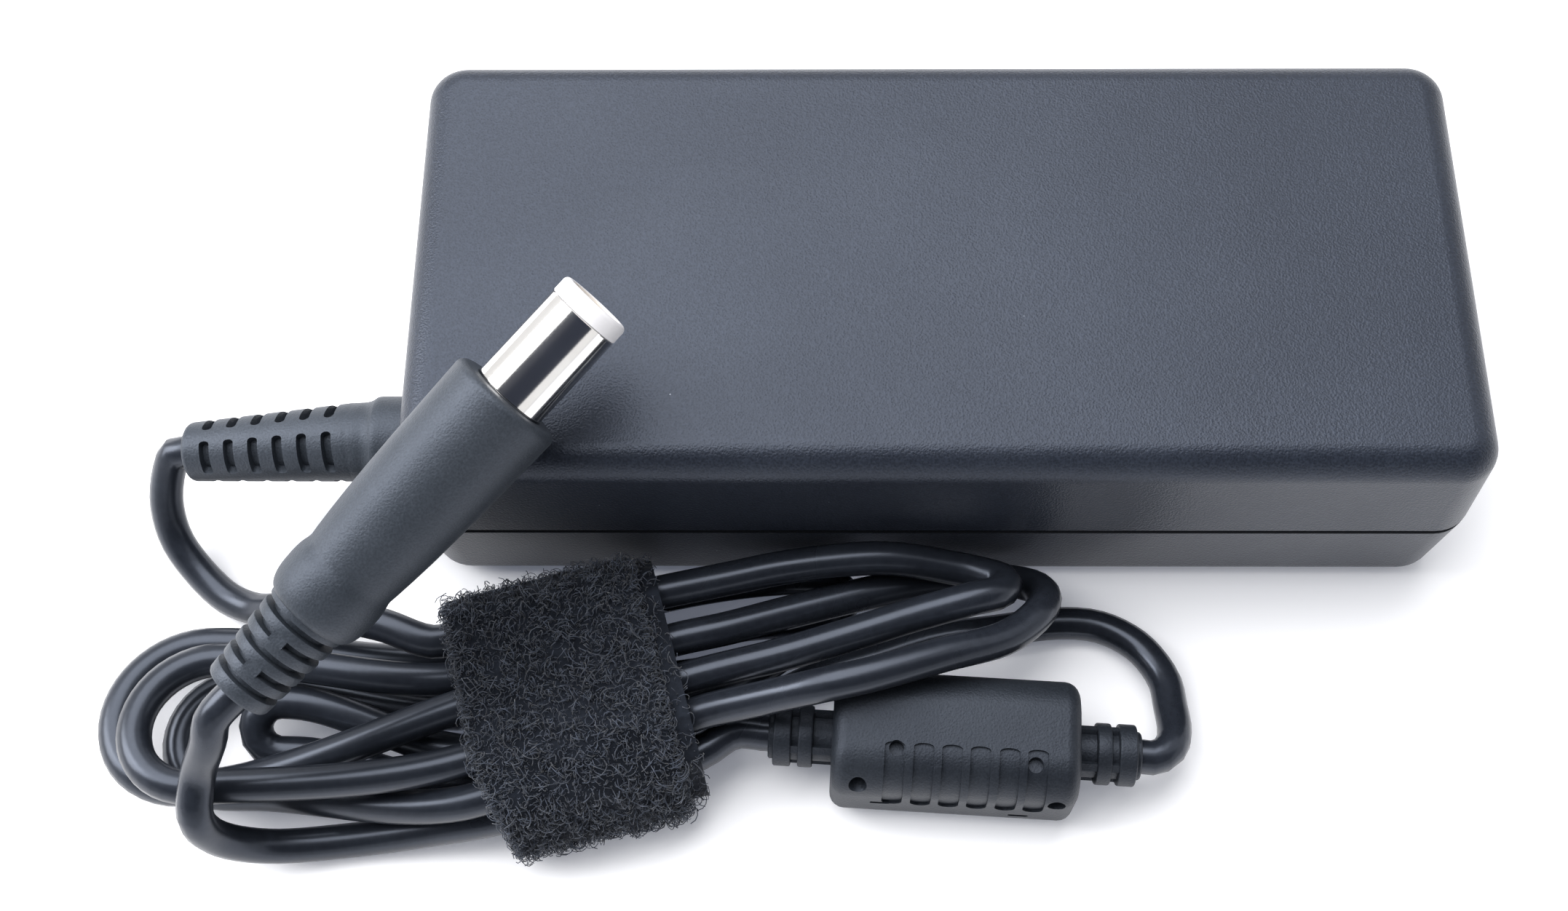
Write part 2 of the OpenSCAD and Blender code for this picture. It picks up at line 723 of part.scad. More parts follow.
// Two wound sectors that wrap the core
module choke_winding() {
    cover = winding_t + winding_fit;
    ring_w = (choke_d - choke_hole_d) / 2;
    color("#a8642c")
    translate([choke_at[0], choke_at[1], board_top])
        for (turn = [0, 180])
            rotate([0, 0, turn - winding_arc / 2])
                rotate_extrude(angle = winding_arc, $fn = smooth)
                    difference() {
                        translate([choke_hole_d / 2 - cover, 0])
                            square([ring_w + 2 * cover, choke_h + 2 * cover]);
                        translate([choke_hole_d / 2 - winding_fit, winding_t])
                            square([ring_w + 2 * winding_fit, choke_h + 2 * winding_fit]);
                    }
}

module bridge_rectifier() {
    color("#242426")
    translate([bridge_rect_at[0], bridge_rect_at[1], board_top]) {
        translate([-disc_t / 2, -bridge_rect_w / 2, leg_l])
            cube([disc_t, bridge_rect_w, bridge_rect_h]);
        for (i = [0:3])
            translate([0, (i - 1.5) * bridge_rect_w / 4, 0])
                cylinder(d = lead_d, h = leg_l + 1, $fn = smooth);
    }
}

module bulk_capacitor() {
    color("#23242a")
    translate([inlet_back_x - bulk_gap - bulk_l / 2, bulk_y, board_top + bulk_d / 2]) lying(bulk_d, bulk_l);
}

module heat_sink_plate(x) {
    color("#9a9da1")
    translate([x, sink_y - sink_l / 2, board_top]) cube([sink_t, sink_l, sink_h]);
}

// A transistor package with its metal tab against the plane x = 0, body towards +X
module transistor_package() {
    translate([0, -package_w / 2, package_leg_l]) {
        cube([package_t, package_w, package_h]);
        cube([package_tab_t, package_w, package_h + package_tab_h]);
    }
    for (i = [-1:1])
        translate([package_t / 2, i * package_pitch, 0])
            cylinder(d = lead_d, h = package_leg_l + 1, $fn = smooth);
}

module primary_heat_sink() heat_sink_plate(primary_sink_x);

module switching_transistor() {
    color("#2a2a2c")
    translate([primary_sink_x + sink_t, package_y, board_top]) transistor_package();
}

module output_heat_sink() heat_sink_plate(output_sink_x);

module output_rectifier() {
    color("#2a2a2c")
    translate([output_sink_x, package_y, board_top]) mirror([1, 0, 0]) transistor_package();
}

// Place of the transformer's underside
module at_transformer() {
    translate([transformer_x, 0, board_top]) children();
}

module transformer_core() {
    yoke = transformer_yoke;
    window_l = transformer_l - 2 * transformer_leg;
    color("#3b3d40")
    at_transformer() {
        difference() {
            translate([-transformer_l / 2, -transformer_w / 2, 0])
                cube([transformer_l, transformer_w, transformer_h]);
            translate([-window_l / 2, -transformer_w / 2 - 1, yoke])
                cube([window_l, transformer_w + 2, transformer_h - 2 * yoke]);
        }
        translate([0, 0, yoke / 2]) cylinder(d = centre_leg_d, h = transformer_h - yoke, $fn = smooth);
    }
}

module transformer_winding() {
    window_l = transformer_l - 2 * transformer_leg;
    window_h = transformer_h - 2 * transformer_yoke;
    color("#d9b23c")
    at_transformer()
        translate([0, 0, transformer_yoke + winding_fit])
            difference() {
                cylinder(d = window_l - 2 * winding_fit, h = window_h - 2 * winding_fit, $fn = smooth);
                translate([0, 0, -1])
                    cylinder(d = centre_leg_d + 2 * winding_fit, h = window_h + 2, $fn = smooth);
            }
}

module y_capacitor() {
    color("#2f63a8")
    translate([transformer_x, y_cap_y, board_top + leg_l + y_cap_d / 2])
        rotate([0, 0, 90]) standing_disc(y_cap_d);
}

module optocoupler() {
    color("#e8e6e0")
    translate([opto_at[0] - opto_l / 2, opto_at[1] - opto_w / 2, board_top]) cube([opto_l, opto_w, opto_h]);
}

module controller_chip() {
    color("#1c1c1e")
    translate([chip_at[0] - chip_s / 2, chip_at[1] - chip_s / 2, board_top]) cube([chip_s, chip_s, chip_h]);
}

module output_capacitors() {
    pitch = out_cap_d + out_cap_gap;
    color("#2c3f6e")
    for (spot = [[0, 0], [1, 0], [1, 1]])
        translate([out_cap_at[0] - spot[0] * pitch, out_cap_at[1] - spot[1] * pitch, board_top])
            cylinder(d = out_cap_d, h = out_cap_h, $fn = smooth);
}

module output_choke_core() {
    color("#4a4f55")
    translate([rod_at[0], rod_at[1], board_top]) cylinder(d = rod_d, h = rod_h, $fn = smooth);
}

module output_choke_winding() {
    color("#a8642c")
    translate([rod_at[0], rod_at[1], board_top])
        difference() {
            cylinder(d = rod_d + 2 * (winding_fit + winding_t), h = rod_winding_h, $fn = smooth);
            translate([0, 0, -1])
                cylinder(d = rod_d + 2 * winding_fit, h = rod_winding_h + 2, $fn = smooth);
        }
}

// The end of the cord's jacket inside the case, and its two wires down to the board
module output_wires() {
    jacket_x = relief_inner_x;
    color("#b5352f")
    translate([0, -relief_offset, seam_z]) {
        translate([jacket_x, 0, 0]) rotate([0, 90, 0]) cylinder(d = cord_d, h = jacket_l, $fn = smooth);
        for (side = [-1, 1]) translate([0, side * wire_pitch / 2, 0]) {
            translate([jacket_x + jacket_l / 2, 0, 0]) rotate([0, 90, 0])
                cylinder(d = wire_d, h = jacket_l / 2 + wire_run, $fn = smooth);
            translate([jacket_x + jacket_l + wire_run, 0, 0]) sphere(d = wire_d, $fn = smooth);
            translate([jacket_x + jacket_l + wire_run, 0, board_top - seam_z])
                cylinder(d = wire_d, h = seam_z - board_top, $fn = smooth);
        }
    }
}

// ---- Case strain relief ----
module relief_slots() {
    for (i = [0:relief_slot_count - 1], row = [0:3]) {
        z = relief_slot_start + i * relief_slot_pitch;
        r = (relief_big_d + (relief_small_d - relief_big_d) * z / relief_body_l) / 2;
        translate([0, 0, z]) rotate([0, 0, relief_row_turn + 90 * row - relief_slot_arc / 2])
            rotate_extrude(angle = relief_slot_arc, $fn = smooth)
                translate([r - relief_slot_depth, 0]) square([relief_slot_depth + 1, relief_slot_w]);
    }
}

module strain_relief() {
    color("#161617") {
        translate(relief_root) rotate([0, -90, 0]) {
            cylinder(d = relief_collar_d, h = relief_collar_l, $fn = smooth);
            translate([0, 0, relief_collar_l])
                cylinder(d1 = relief_collar_d, d2 = relief_big_d, h = relief_throat_l, $fn = smooth);
            translate([0, 0, -relief_neck_l]) cylinder(d = relief_neck_d, h = relief_neck_l + 1, $fn = smooth);
            translate([0, 0, -relief_neck_l - relief_flange_t])
                cylinder(d = relief_flange_d, h = relief_flange_t, $fn = smooth);
        }
        translate(relief_root + [-relief_straight, 0, 0]) {
            sphere(d = relief_big_d, $fn = smooth);
            rotate([0, -90 - relief_droop, 0])
                difference() {
                    cylinder(d1 = relief_big_d, d2 = relief_small_d, h = relief_body_l, $fn = smooth);
                    relief_slots();
                }
        }
    }
}

// ---- Ferrite ----
module along_ferrite() {
    translate(ferrite_at) rotate([0, 0, ferrite_turn]) children();
}

module ferrite_prism(l, inset) {
    side = ferrite_w - 2 * inset;
    rotate([90, 0, 90]) linear_extrude(l, center = true)
        rounded_plan(side, side, ferrite_edge_r - inset, $fn = shell_smooth);
}

module boot() {
    gap = (boot_l - 2 * boot_ring_w) / 2;
    rotate([0, 90, 0]) {
        translate([0, 0, -1]) cylinder(d = boot_neck_d, h = boot_l + 1, $fn = smooth);
        for (i = [0, 1])
            translate([0, 0, gap + i * (gap + boot_ring_w)]) cylinder(d = boot_ring_d, h = boot_ring_w, $fn = smooth);
    }
}

module ferrite_overmould() {
    color("#1b1b1d")
    along_ferrite()
        difference() {
            union() {
                hull() {
                    ferrite_prism(ferrite_l - 2 * ferrite_chamfer, 0);
                    ferrite_prism(ferrite_l, ferrite_chamfer);
                }
                for (turn = [0, 180]) rotate([0, 0, turn]) translate([ferrite_l / 2, 0, 0]) boot();
            }
            lying(core_d + 2 * core_fit, core_l + 2 * core_fit);
            lying(ferrite_bore, 2 * ferrite_reach + 2);
            for (x = pits_x)
                translate([x, -pit_y, ferrite_w / 2 - pit_depth])
                    cylinder(d = pit_d, h = pit_depth + 1, $fn = smooth);
        }
}

module ferrite_core() {
    color("#5a5c5e")
    along_ferrite()
        difference() {
            lying(core_d, core_l);
            lying(ferrite_bore, core_l + 2);
        }
}

// ---- Plug: local z runs along the plug towards its tip, from the grip's front face ----
module along_plug() {
    translate(plug_at) rotate([0, 90 - plug_rise, plug_heading]) children();
}

module sleeve(outer_d, inner_d, from, to) {
    difference() {
        translate([0, 0, from]) cylinder(d = outer_d, h = to - from, $fn = smooth);
        translate([0, 0, from - 1]) cylinder(d = inner_d, h = to - from + 2, $fn = smooth);
    }
}

shell_front = barrel_l - tip_l;
shell_bore_d = root_d - 2 * barrel_wall;
contact_d = plug_bore_d + 2 * contact_wall;
insulator_bore_d = contact_d + 2 * plug_fit;

module plug_barrel() {
    color("#d9d6cf")
    along_plug() {
        sleeve(root_d, shell_bore_d, -barrel_root, shell_front);
        sleeve(barrel_d, shell_bore_d, root_step, shell_front);
    }
}

module plug_insulator() {
    color("#efeee9")
    along_plug() {
        sleeve(shell_bore_d - 2 * plug_fit, insulator_bore_d, -barrel_root, shell_front + tip_l / 2);
        sleeve(barrel_d, insulator_bore_d, shell_front, barrel_l);
    }
}

module plug_contact() {
    color("#d2b46a")
    along_plug() sleeve(contact_d, plug_bore_d, -barrel_root, barrel_l - contact_setback);
}

module plug_centre_pin() {
    tip_z = barrel_l - pin_setback - centre_pin_d / 2;
    color("#d9d6cf")
    along_plug() {
        translate([0, 0, -barrel_root - pin_root])
            cylinder(d = centre_pin_d, h = tip_z + barrel_root + pin_root, $fn = smooth);
        translate([0, 0, tip_z]) sphere(d = centre_pin_d, $fn = smooth);
    }
}

// Half section of the grip and its strain relief, as [radius, height]
function grip_section() = concat(
    [[0, 0]],
    [for (a = [0:15:90])
        [grip_front_d / 2 - grip_edge_r * (1 - sin(a)), -grip_edge_r * (1 - cos(a))]],
    [for (a = [0:10:90])
        [tail_big_d / 2 + (grip_back_d - tail_big_d) / 2 * cos(a), -grip_l - shoulder_l * sin(a)]],
    [[tail_small_d / 2, -plug_back], [0, -plug_back]]
);

module tail_grooves() {
    for (i = [0:groove_count - 1])
        translate([0, 0, -grip_l - shoulder_l - groove_start - groove_w - i * groove_pitch])
            difference() {
                r = (tail_big_d - (tail_big_d - tail_small_d) * (groove_start + i * groove_pitch) / tail_l) / 2;
                difference() {
                    cylinder(r = tail_big_d, h = groove_w, $fn = smooth);
                    translate([0, 0, -1]) cylinder(r = r - groove_depth, h = groove_w + 2, $fn = smooth);
                }
                if (i % 2 == 1)
                    rotate([0, 0, bridge_turn]) translate([-tail_big_d, -bridge_w / 2, -1])
                        cube([2 * tail_big_d, bridge_w, groove_w + 2]);
            }
}

module plug_grip() {
    color("#1b1b1d")
    along_plug()
        difference() {
            rotate_extrude($fn = smooth) polygon(grip_section());
            tail_grooves();
            translate([0, 0, -barrel_root]) cylinder(d = root_d + 2 * plug_fit, h = barrel_root + 1, $fn = smooth);
            translate([0, 0, -barrel_root - pin_root])
                cylinder(d = centre_pin_d + 2 * plug_fit, h = pin_root + 1, $fn = smooth);
        }
}

// ---- Cord: a tube of straight runs between rings that follow points ----
function unit(v) = v / norm(v);
function tangent(p, i) = unit(p[min(i + 1, len(p) - 1)] - p[max(i - 1, 0)]);
function across(t, n) = unit(n - (n * t) * t);
// One vector square to the run at each point, turned as little as can be
function normals(p) = [
    for (i = 0, n = across(tangent(p, 0), [0, 0, 1]);
         i < len(p);
         i = i + 1, n = i < len(p) ? across(tangent(p, i), n) : n)
        n
];
function ring(p, t, n, r, sides) = [
    for (j = [0:sides - 1])
        let (a = 360 * j / sides) p + r * (cos(a) * n + sin(a) * cross(t, n))
];

module tube(p, r, sides) {
    n = normals(p);
    rings = [for (i = [0:len(p) - 1]) each ring(p[i], tangent(p, i), n[i], r, sides)];
    last = (len(p) - 1) * sides;
    walls = [
        for (i = [0:len(p) - 2], j = [0:sides - 1])
            let (a = i * sides + j, b = i * sides + (j + 1) % sides)
                each [[a, a + sides, b + sides], [a, b + sides, b]]
    ];
    first_cap = [for (j = [1:sides - 2]) [0, j, j + 1]];
    last_cap = [for (j = [1:sides - 2]) [last, last + j + 1, last + j]];
    polyhedron(rings, concat(walls, first_cap, last_cap));
}

// ---- Hank: the waist in the strap, and the loops on both sides of it ----
waist_dir = [cos(waist_turn), sin(waist_turn), 0];
waist_side = [-sin(waist_turn), cos(waist_turn), 0];

// A point of the waist: along the strap's axis, across it, and up
function in_waist(s, slot) = beside(waist_at) + s * waist_dir + slot[0] * waist_side + [0, 0, slot[1]];
function left_end(slots, k) = in_waist(-waist_reach, slots[k]);
function right_end(slots, k) = in_waist(waist_reach, slots[k]);

// Points of a smooth run from a to b that leaves along da and arrives along db
function run(a, b, da, db) =
    let (pull = run_pull * norm(b - a))
    [for (i = [1:run_steps])
        let (t = i / (run_steps + 1), u = 1 - t)
            u * u * (1 + 2 * t) * a + t * t * (1 + 2 * u) * b + t * u * pull * (u * da - t * db)];

// Points of a half circle from a to b that bulges along dir
function half_turn(a, b, dir) =
    let (m = (a + b) / 2, r = (a - b) / 2)
    [for (i = [0:turn_steps - 1])
        let (q = 180 * i / (turn_steps - 1)) m + cos(q) * r + sin(q) * norm(r) * dir];

// A smooth curve through the points p, without its ends
function curve(p) = [
    for (i = [1:len(p) - 3], j = [0:curve_steps - 1])
        let (t = j / curve_steps, a = p[i - 1], b = p[i], c = p[i + 1], d = p[i + 2])
            b + t / 2 * (c - a + t * (2 * a - 5 * b + 4 * c - d + t * (3 * b - a - 3 * c + d)))
];

function loop(k) =
    let (
        start = left_end(out_left, k),
        over = right_end(out_right, k),
        home = right_end(home_right, k),
        leave = left_end(home_left, k),
        next_start = left_end(out_left, k + 1),
        next_over = right_end(out_right, k + 1),
        r = norm(left_first[k] - left_second[k]) / 2,
        first = beside(concat(left_reach[k] + r, left_first[k])),
        second = beside(concat(left_reach[k] + r, left_second[k])),
        left_dir = unit([-1, -left_slope, 0])
    )
    concat(
        [start],
        curve(concat(
            [over - cord_d * unit(over - start), over],
            [for (p = right_loops[k]) beside(p)],
            [home, home + cord_d * unit(leave - home)]
        )),
        [home, leave],
        run(leave, first, unit(leave - home), left_dir),
        half_turn(first, second, left_dir),
        run(second, next_start, -left_dir, unit(next_over - next_start))
    );

last_l = left_end(out_left, turns);
last_r = right_end(out_right, turns);
hank_end = last_l + cord_d * unit(last_r - last_l);
hank_points = concat([for (k = [0:turns - 1]) each loop(k)], [last_l, hank_end]);

// Least gap between turns, measured on points along the hank
function along(p, steps) = [
    for (i = [0:len(p) - 2], j = [0:steps - 1]) p[i] + j / steps * (p[i + 1] - p[i])
];
function lengths(p) = [
    for (i = 0, s = 0; i < len(p); i = i + 1, s = i < len(p) ? s + norm(p[i] - p[i - 1]) : s) s
];
function least_gap(p, s, apart) =
    min([for (i = [0:len(p) - 1], j = [i + 1:len(p) - 1]) if (s[j] - s[i] > apart) norm(p[i] - p[j])]) - cord_d;
gap_points = along(hank_points, gap_steps);
hank_gap = least_gap(gap_points, lengths(gap_points), gap_apart);

lead_start = left_end(out_left, 0);
lead_in = unit(right_end(out_right, 0) - lead_start);
lead_points = concat(
    [relief_end, relief_end + cord_d / 2 * relief_dir],
    [for (p = lead_route) beside(p)],
    [lead_start - cord_d * lead_in, lead_start]
);

ferrite_right = ferrite_at + ferrite_reach * ferrite_dir;
ferrite_left = ferrite_at - ferrite_reach * ferrite_dir;
plug_lead_points = concat(
    [hank_end, last_r],
    [for (p = arc_route) beside(p)],
    [ferrite_right + cord_d / 2 * ferrite_dir, ferrite_right, ferrite_left, ferrite_left - cord_d * ferrite_dir],
    [in_waist(waist_reach, ferrite_right_slot), in_waist(-waist_reach, ferrite_left_slot)],
    [for (p = plug_route) beside(p)],
    [plug_end - cord_d * plug_dir, plug_end]
);

module cord_lead() {
    color("#141415") tube(lead_points, cord_d / 2, 8);
}

module cord_hank() {
    echo(str("Least gap between the turns of the hank: ", hank_gap, " mm"));
    color("#141415") tube(hank_points, cord_d / 2, 6);
}

module cord_plug_lead() {
    color("#141415") tube(plug_lead_points, cord_d / 2, 8);
}

// ---- Strap: local x runs along the waist, y across it ----
module along_waist() {
    translate(beside(waist_at)) rotate([0, 0, waist_turn]) children();
}

// Outline of the strap round every cord in the waist, at a distance from them
module waist_outline(grow) {
    hull()
        for (slot = concat(out_left, out_right, home_left, home_right, [ferrite_left_slot, ferrite_right_slot]))
            translate(slot) circle(cord_d / 2 + strap_room + grow, $fn = shell_smooth);
}

module strap_prism(from, to) {
    translate([from, 0, 0]) rotate([90, 0, 90]) linear_extrude(to - from) children();
}

module strap_wrap() {
    half = strap_w / 2;
    outer_from = tab_hinge[0] + strap_t / 2 + swing_gap;
    color("#222224")
    along_waist()
        difference() {
            union() {
                strap_prism(-half, half) waist_outline(strap_t);
                strap_prism(-half - strap_slip, half - strap_slip)
                    intersection() {
                        waist_outline(2 * strap_t);
                        translate([outer_from, outer_layer_z])
                            square([outer_layer_end - outer_from, outer_layer_z + tab_lift]);
                    }
            }
            strap_prism(-strap_w, strap_w) waist_outline(0);
            strap_prism(-strap_w, -half) waist_outline(strap_t);
        }
}

// The free end: it lies on the strap's front from the hinge line down, and peels
// outwards
module strap_tab() {
    half = strap_w / 2;
    tall = tab_hinge[1] + strap_t - tab_end_z;
    color("#222224")
    along_waist()
        strap_prism(-half - strap_slip, half - strap_slip) {
            translate(tab_hinge) circle(d = strap_t, $fn = smooth);
            intersection() {
                difference() {
                    waist_outline(2 * strap_t + tab_gap);
                    waist_outline(strap_t + tab_gap);
                }
                translate([tab_hinge[0] - tab_reach, tab_end_z]) square([tab_reach, tall]);
            }
        }
}

top_cover();
bottom_cover();
inlet_housing();
inlet_pins();
circuit_board();
upper_heat_spreader();
lower_heat_spreader();
insulation_sheet();
fuse();
inrush_thermistor();
film_capacitor();
choke_core();
choke_winding();
bridge_rectifier();
bulk_capacitor();
primary_heat_sink();
switching_transistor();
transformer_core();
transformer_winding();
y_capacitor();
optocoupler();
controller_chip();
output_heat_sink();
output_rectifier();
output_capacitors();
output_choke_core();
output_choke_winding();
output_wires();
strain_relief();
cord_lead();
cord_hank();
cord_plug_lead();
ferrite_core();
ferrite_overmould();
plug_grip();
plug_barrel();
plug_insulator();
plug_contact();
plug_centre_pin();
strap_wrap();
strap_tab();
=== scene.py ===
# %% [markdown]
# # Laptop power adapter
# The construction model gives every part its place and size. This lesson dresses it:
# moulded plastic with a spark texture, a satin cord in a hank, a nickel barrel plug and
# a fuzzy hook-and-loop strap. All lengths are in metres, so `mm` turns millimetres,
# in which such an object is drawn, into metres.

# %% Load the construction model
import json
import math
import random

import bmesh
import bpy
from mathutils import Matrix, Quaternion, Vector, noise


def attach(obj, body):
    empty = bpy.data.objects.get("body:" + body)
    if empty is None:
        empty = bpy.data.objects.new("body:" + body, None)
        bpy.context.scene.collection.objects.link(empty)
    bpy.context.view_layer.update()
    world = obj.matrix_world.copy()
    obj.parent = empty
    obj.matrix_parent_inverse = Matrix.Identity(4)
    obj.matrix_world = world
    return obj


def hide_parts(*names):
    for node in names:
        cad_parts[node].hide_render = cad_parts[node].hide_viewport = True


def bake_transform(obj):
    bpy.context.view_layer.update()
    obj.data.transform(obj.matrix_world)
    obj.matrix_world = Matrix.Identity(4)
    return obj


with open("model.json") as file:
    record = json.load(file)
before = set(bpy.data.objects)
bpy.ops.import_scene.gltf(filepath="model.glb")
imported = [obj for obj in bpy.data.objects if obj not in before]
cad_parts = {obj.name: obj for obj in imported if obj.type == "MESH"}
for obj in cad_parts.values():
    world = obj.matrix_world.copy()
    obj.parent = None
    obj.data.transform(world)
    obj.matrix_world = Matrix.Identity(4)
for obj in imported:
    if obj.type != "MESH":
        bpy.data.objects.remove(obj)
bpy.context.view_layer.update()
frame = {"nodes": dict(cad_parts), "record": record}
mm = 0.001
random.seed(7)

# %% [markdown]
# ## The camera
# The adapter is seen from high above its front side, quite near, so the case narrows
# towards its far edge. A camera is placed by what it looks at, how far away it is and
# three angles. A quaternion from the viewing direction keeps it level, and a last
# small turn about its own axis tilts it slightly, as when a camera is held by hand.

# %% Place the camera
def add_object(name, data):
    """Puts a new object with this data into the scene."""
    made = bpy.data.objects.new(name, data)
    bpy.context.scene.collection.objects.link(made)
    return made


look_at = Vector((-16.05, -9.57, 0)) * mm
camera_distance = 216.4 * mm
camera_elevation = math.radians(65.72)
camera_yaw = math.radians(1.6)
camera_roll = math.radians(-1.42)

back = Vector((
    math.cos(camera_elevation) * math.sin(camera_yaw),
    -math.cos(camera_elevation) * math.cos(camera_yaw),
    math.sin(camera_elevation),
))
camera_data = bpy.data.cameras.new("camera")
camera = add_object("camera", camera_data)
bpy.context.scene.camera = camera
camera.location = look_at + camera_distance * back
camera.rotation_mode = "QUATERNION"
camera.rotation_quaternion = (-back).to_track_quat("-Z", "Y") @ Quaternion((0, 0, 1), camera_roll)
camera_data.sensor_width = 36
camera_data.lens = 44.62
camera_data.clip_start = 1 * mm
camera_data.clip_end = 20
print("camera at", [round(c, 4) for c in camera.location])

# %% [markdown]
# ## The route of the cord
# A cord is one length of something flexible, so it is drawn as one curve from the case
# to the plug. It leaves the strain relief, drops to the desk, makes four turns in a hank
# that the strap holds at its waist, comes round through the ferrite and back through the
# strap, and climbs to the plug, which leans on the case. The places are the ones that the
# construction model gives its cord, measured from the case's upright corner: along the
# case, out from its side, and up.

# %% Measure places from the case's corner
case_l, case_w = 108 * mm, 48.8 * mm
cord_r = 1.75 * mm


def beside(place):
    """A point from its distances along the case, out from its side, and up, in mm."""
    along, out, up = place
    return Vector((along * mm - case_l / 2, -case_w / 2 - out * mm, up * mm))


def heading(turn, rise=0.0):
    """A direction, turned from the case's length and raised from the desk by these angles."""
    return Vector((math.cos(rise) * math.cos(turn), math.cos(rise) * math.sin(turn), math.sin(rise)))


# The strap's middle, the direction of the cords in it, and the direction across them
waist_turn = math.radians(15)
waist_at = beside((18, 16.4, 0))
waist_dir = heading(waist_turn)
waist_side = Vector((-waist_dir.y, waist_dir.x, 0))
waist_reach = 10 * mm


def in_waist(end, slot):
    """A point at the waist's left (-1) or right (1) end, with its slot [across, up] in mm."""
    return waist_at + end * waist_reach * waist_dir + slot[0] * mm * waist_side + Vector((0, 0, slot[1] * mm))


print("waist at", [round(c, 4) for c in waist_at])

# %% Places of the cords in the waist, turn by turn
# Each turn goes out through the waist, round a loop on the right, home through the
# waist and round a loop on the left. A slot is [across, up], a place [along, out, up].
out_left = [(10, 9), (5.8, 7.8), (2.5, 10), (3.5, 3), (-4.8, 3)]
out_right = [(9, 10), (6, 3.5), (4, 9), (2, 3), (-5, 3)]
home_right = [(-0.5, 9.5), (10, 6), (-4.5, 10), (-1, 5.5)]
home_left = [(-3, 10), (10, 3), (-7, 9), (-1.2, 4.9)]
ferrite_left_slot, ferrite_right_slot = (-8.4, 5.2), (-7.5, 6.5)
right_loops = [
    [
        (32.4, 3.7, 10.3), (38.4, 2.8, 11.3), (46.4, 2.15, 12.1), (50, 2.15, 11.9), (54.9, 2.4, 10.4),
        (58.1, 3, 10.2), (60.6, 4.3, 11.3), (60, 6, 12.8), (57.4, 6.9, 13.4), (51, 8.4, 12.3),
        (46.5, 9.6, 11.5), (38.4, 11.8, 10.5),
    ],
    [
        (33, 6.1, 2.3), (38, 5.4, 1.8), (42.5, 5.3, 2), (44.2, 4.3, 3), (44.1, 2.9, 4.8),
        (42, 2.15, 5.9), (36, 2.3, 6.2),
    ],
    [
        (32.4, 8.6, 9), (38.4, 6.8, 8.6), (46.8, 4.4, 8), (50.5, 3.3, 7), (53.2, 2.6, 6.2),
        (58, 2.15, 5.6), (61.5, 2.15, 5.7), (64, 3.1, 6.7), (64.9, 5, 9), (64.3, 7.2, 11),
        (62.7, 9, 11.6), (60.1, 10.9, 12.5), (54.4, 13, 14.2), (46.4, 15.6, 15.2), (42, 16.5, 14.9),
        (37, 17, 12.8),
    ],
    [
        (32.4, 10.8, 2.1), (35.2, 9.8, 1.9), (37.1, 9.5, 2.9), (37.7, 10, 4.6), (36.4, 11.4, 5.9),
        (32.6, 13.2, 5.9),
    ],
]
left_reach = [-27, -30.5, -24.5, -16]
left_first = [(25.6, 10), (8.6, 3.5), (24.1, 1.8), (15.6, 6)]
left_second = [(11.6, 7.5), (24.6, 5.5), (12.6, 2), (20.1, 3)]
left_slope = 0.05
turns = len(right_loops)
print("turns in the hank:", turns)

# %% Draw smooth runs and half circles between those places
run_pull = 0.9
run_points, turn_points = 7, 18


def run(a, b, leave, arrive):
    """Points of a smooth run from a to b, without its ends."""
    pull = run_pull * (b - a).length
    points = []
    for i in range(1, run_points + 1):
        t = i / (run_points + 1)
        u = 1 - t
        points.append(
            u * u * (1 + 2 * t) * a + t * t * (1 + 2 * u) * b + t * u * pull * (u * leave - t * arrive)
        )
    return points


def half_turn(a, b, outwards):
    """Points of a half circle from a to b that bulges outwards."""
    middle, arm = (a + b) / 2, (a - b) / 2
    angles = [math.pi * i / (turn_points - 1) for i in range(turn_points)]
    return [middle + math.cos(q) * arm + math.sin(q) * arm.length * outwards for q in angles]


def hank_turn(k):
    """One turn of the hank, from the waist's left end to where the next turn starts."""
    start, over = in_waist(-1, out_left[k]), in_waist(1, out_right[k])
    home, leave = in_waist(1, home_right[k]), in_waist(-1, home_left[k])
    next_start, next_over = in_waist(-1, out_left[k + 1]), in_waist(1, out_right[k + 1])
    radius = math.dist(left_first[k], left_second[k]) / 2
    first, second = (beside((left_reach[k] + radius, *at)) for at in (left_first[k], left_second[k]))
    left_dir = Vector((-1, -left_slope, 0)).normalized()
    return [
        start, (start + over) / 2, over, *[beside(place) for place in right_loops[k]],
        home, (home + leave) / 2, leave, *run(leave, first, (leave - home).normalized(), left_dir),
        *half_turn(first, second, left_dir),
        *run(second, next_start, -left_dir, (next_over - next_start).normalized()),
    ]


hank = [point for k in range(turns) for point in hank_turn(k)]
print("points in the hank:", len(hank))

# %% [markdown]
# The free stretches are a few places that the cord passes, with a few straight
# millimetres where it leaves the strain relief, the ferrite and the plug. The ferrite
# lies on the desk beside the hank, and the plug leans on the case's top edge, so both
# have an axis of their own that the cord has to meet.

# %% Set the axes of the strain relief, the ferrite and the plug
seam_z, relief_offset, relief_neck, sleeve_l = 14, 14.4, 6.4, 18
relief_droop = math.radians(8)
relief_root = Vector((-case_l / 2, -relief_offset * mm, seam_z * mm))
relief_bend = relief_root - Vector((relief_neck * mm, 0, 0))
relief_dir = -heading(0, relief_droop)
relief_end = relief_bend + sleeve_l * mm * relief_dir

ferrite_turn = math.radians(-3.4)
ferrite_at = beside((55.3, 20.1, 6.4))
ferrite_dir = heading(ferrite_turn)
ferrite_reach = 18.65 * mm

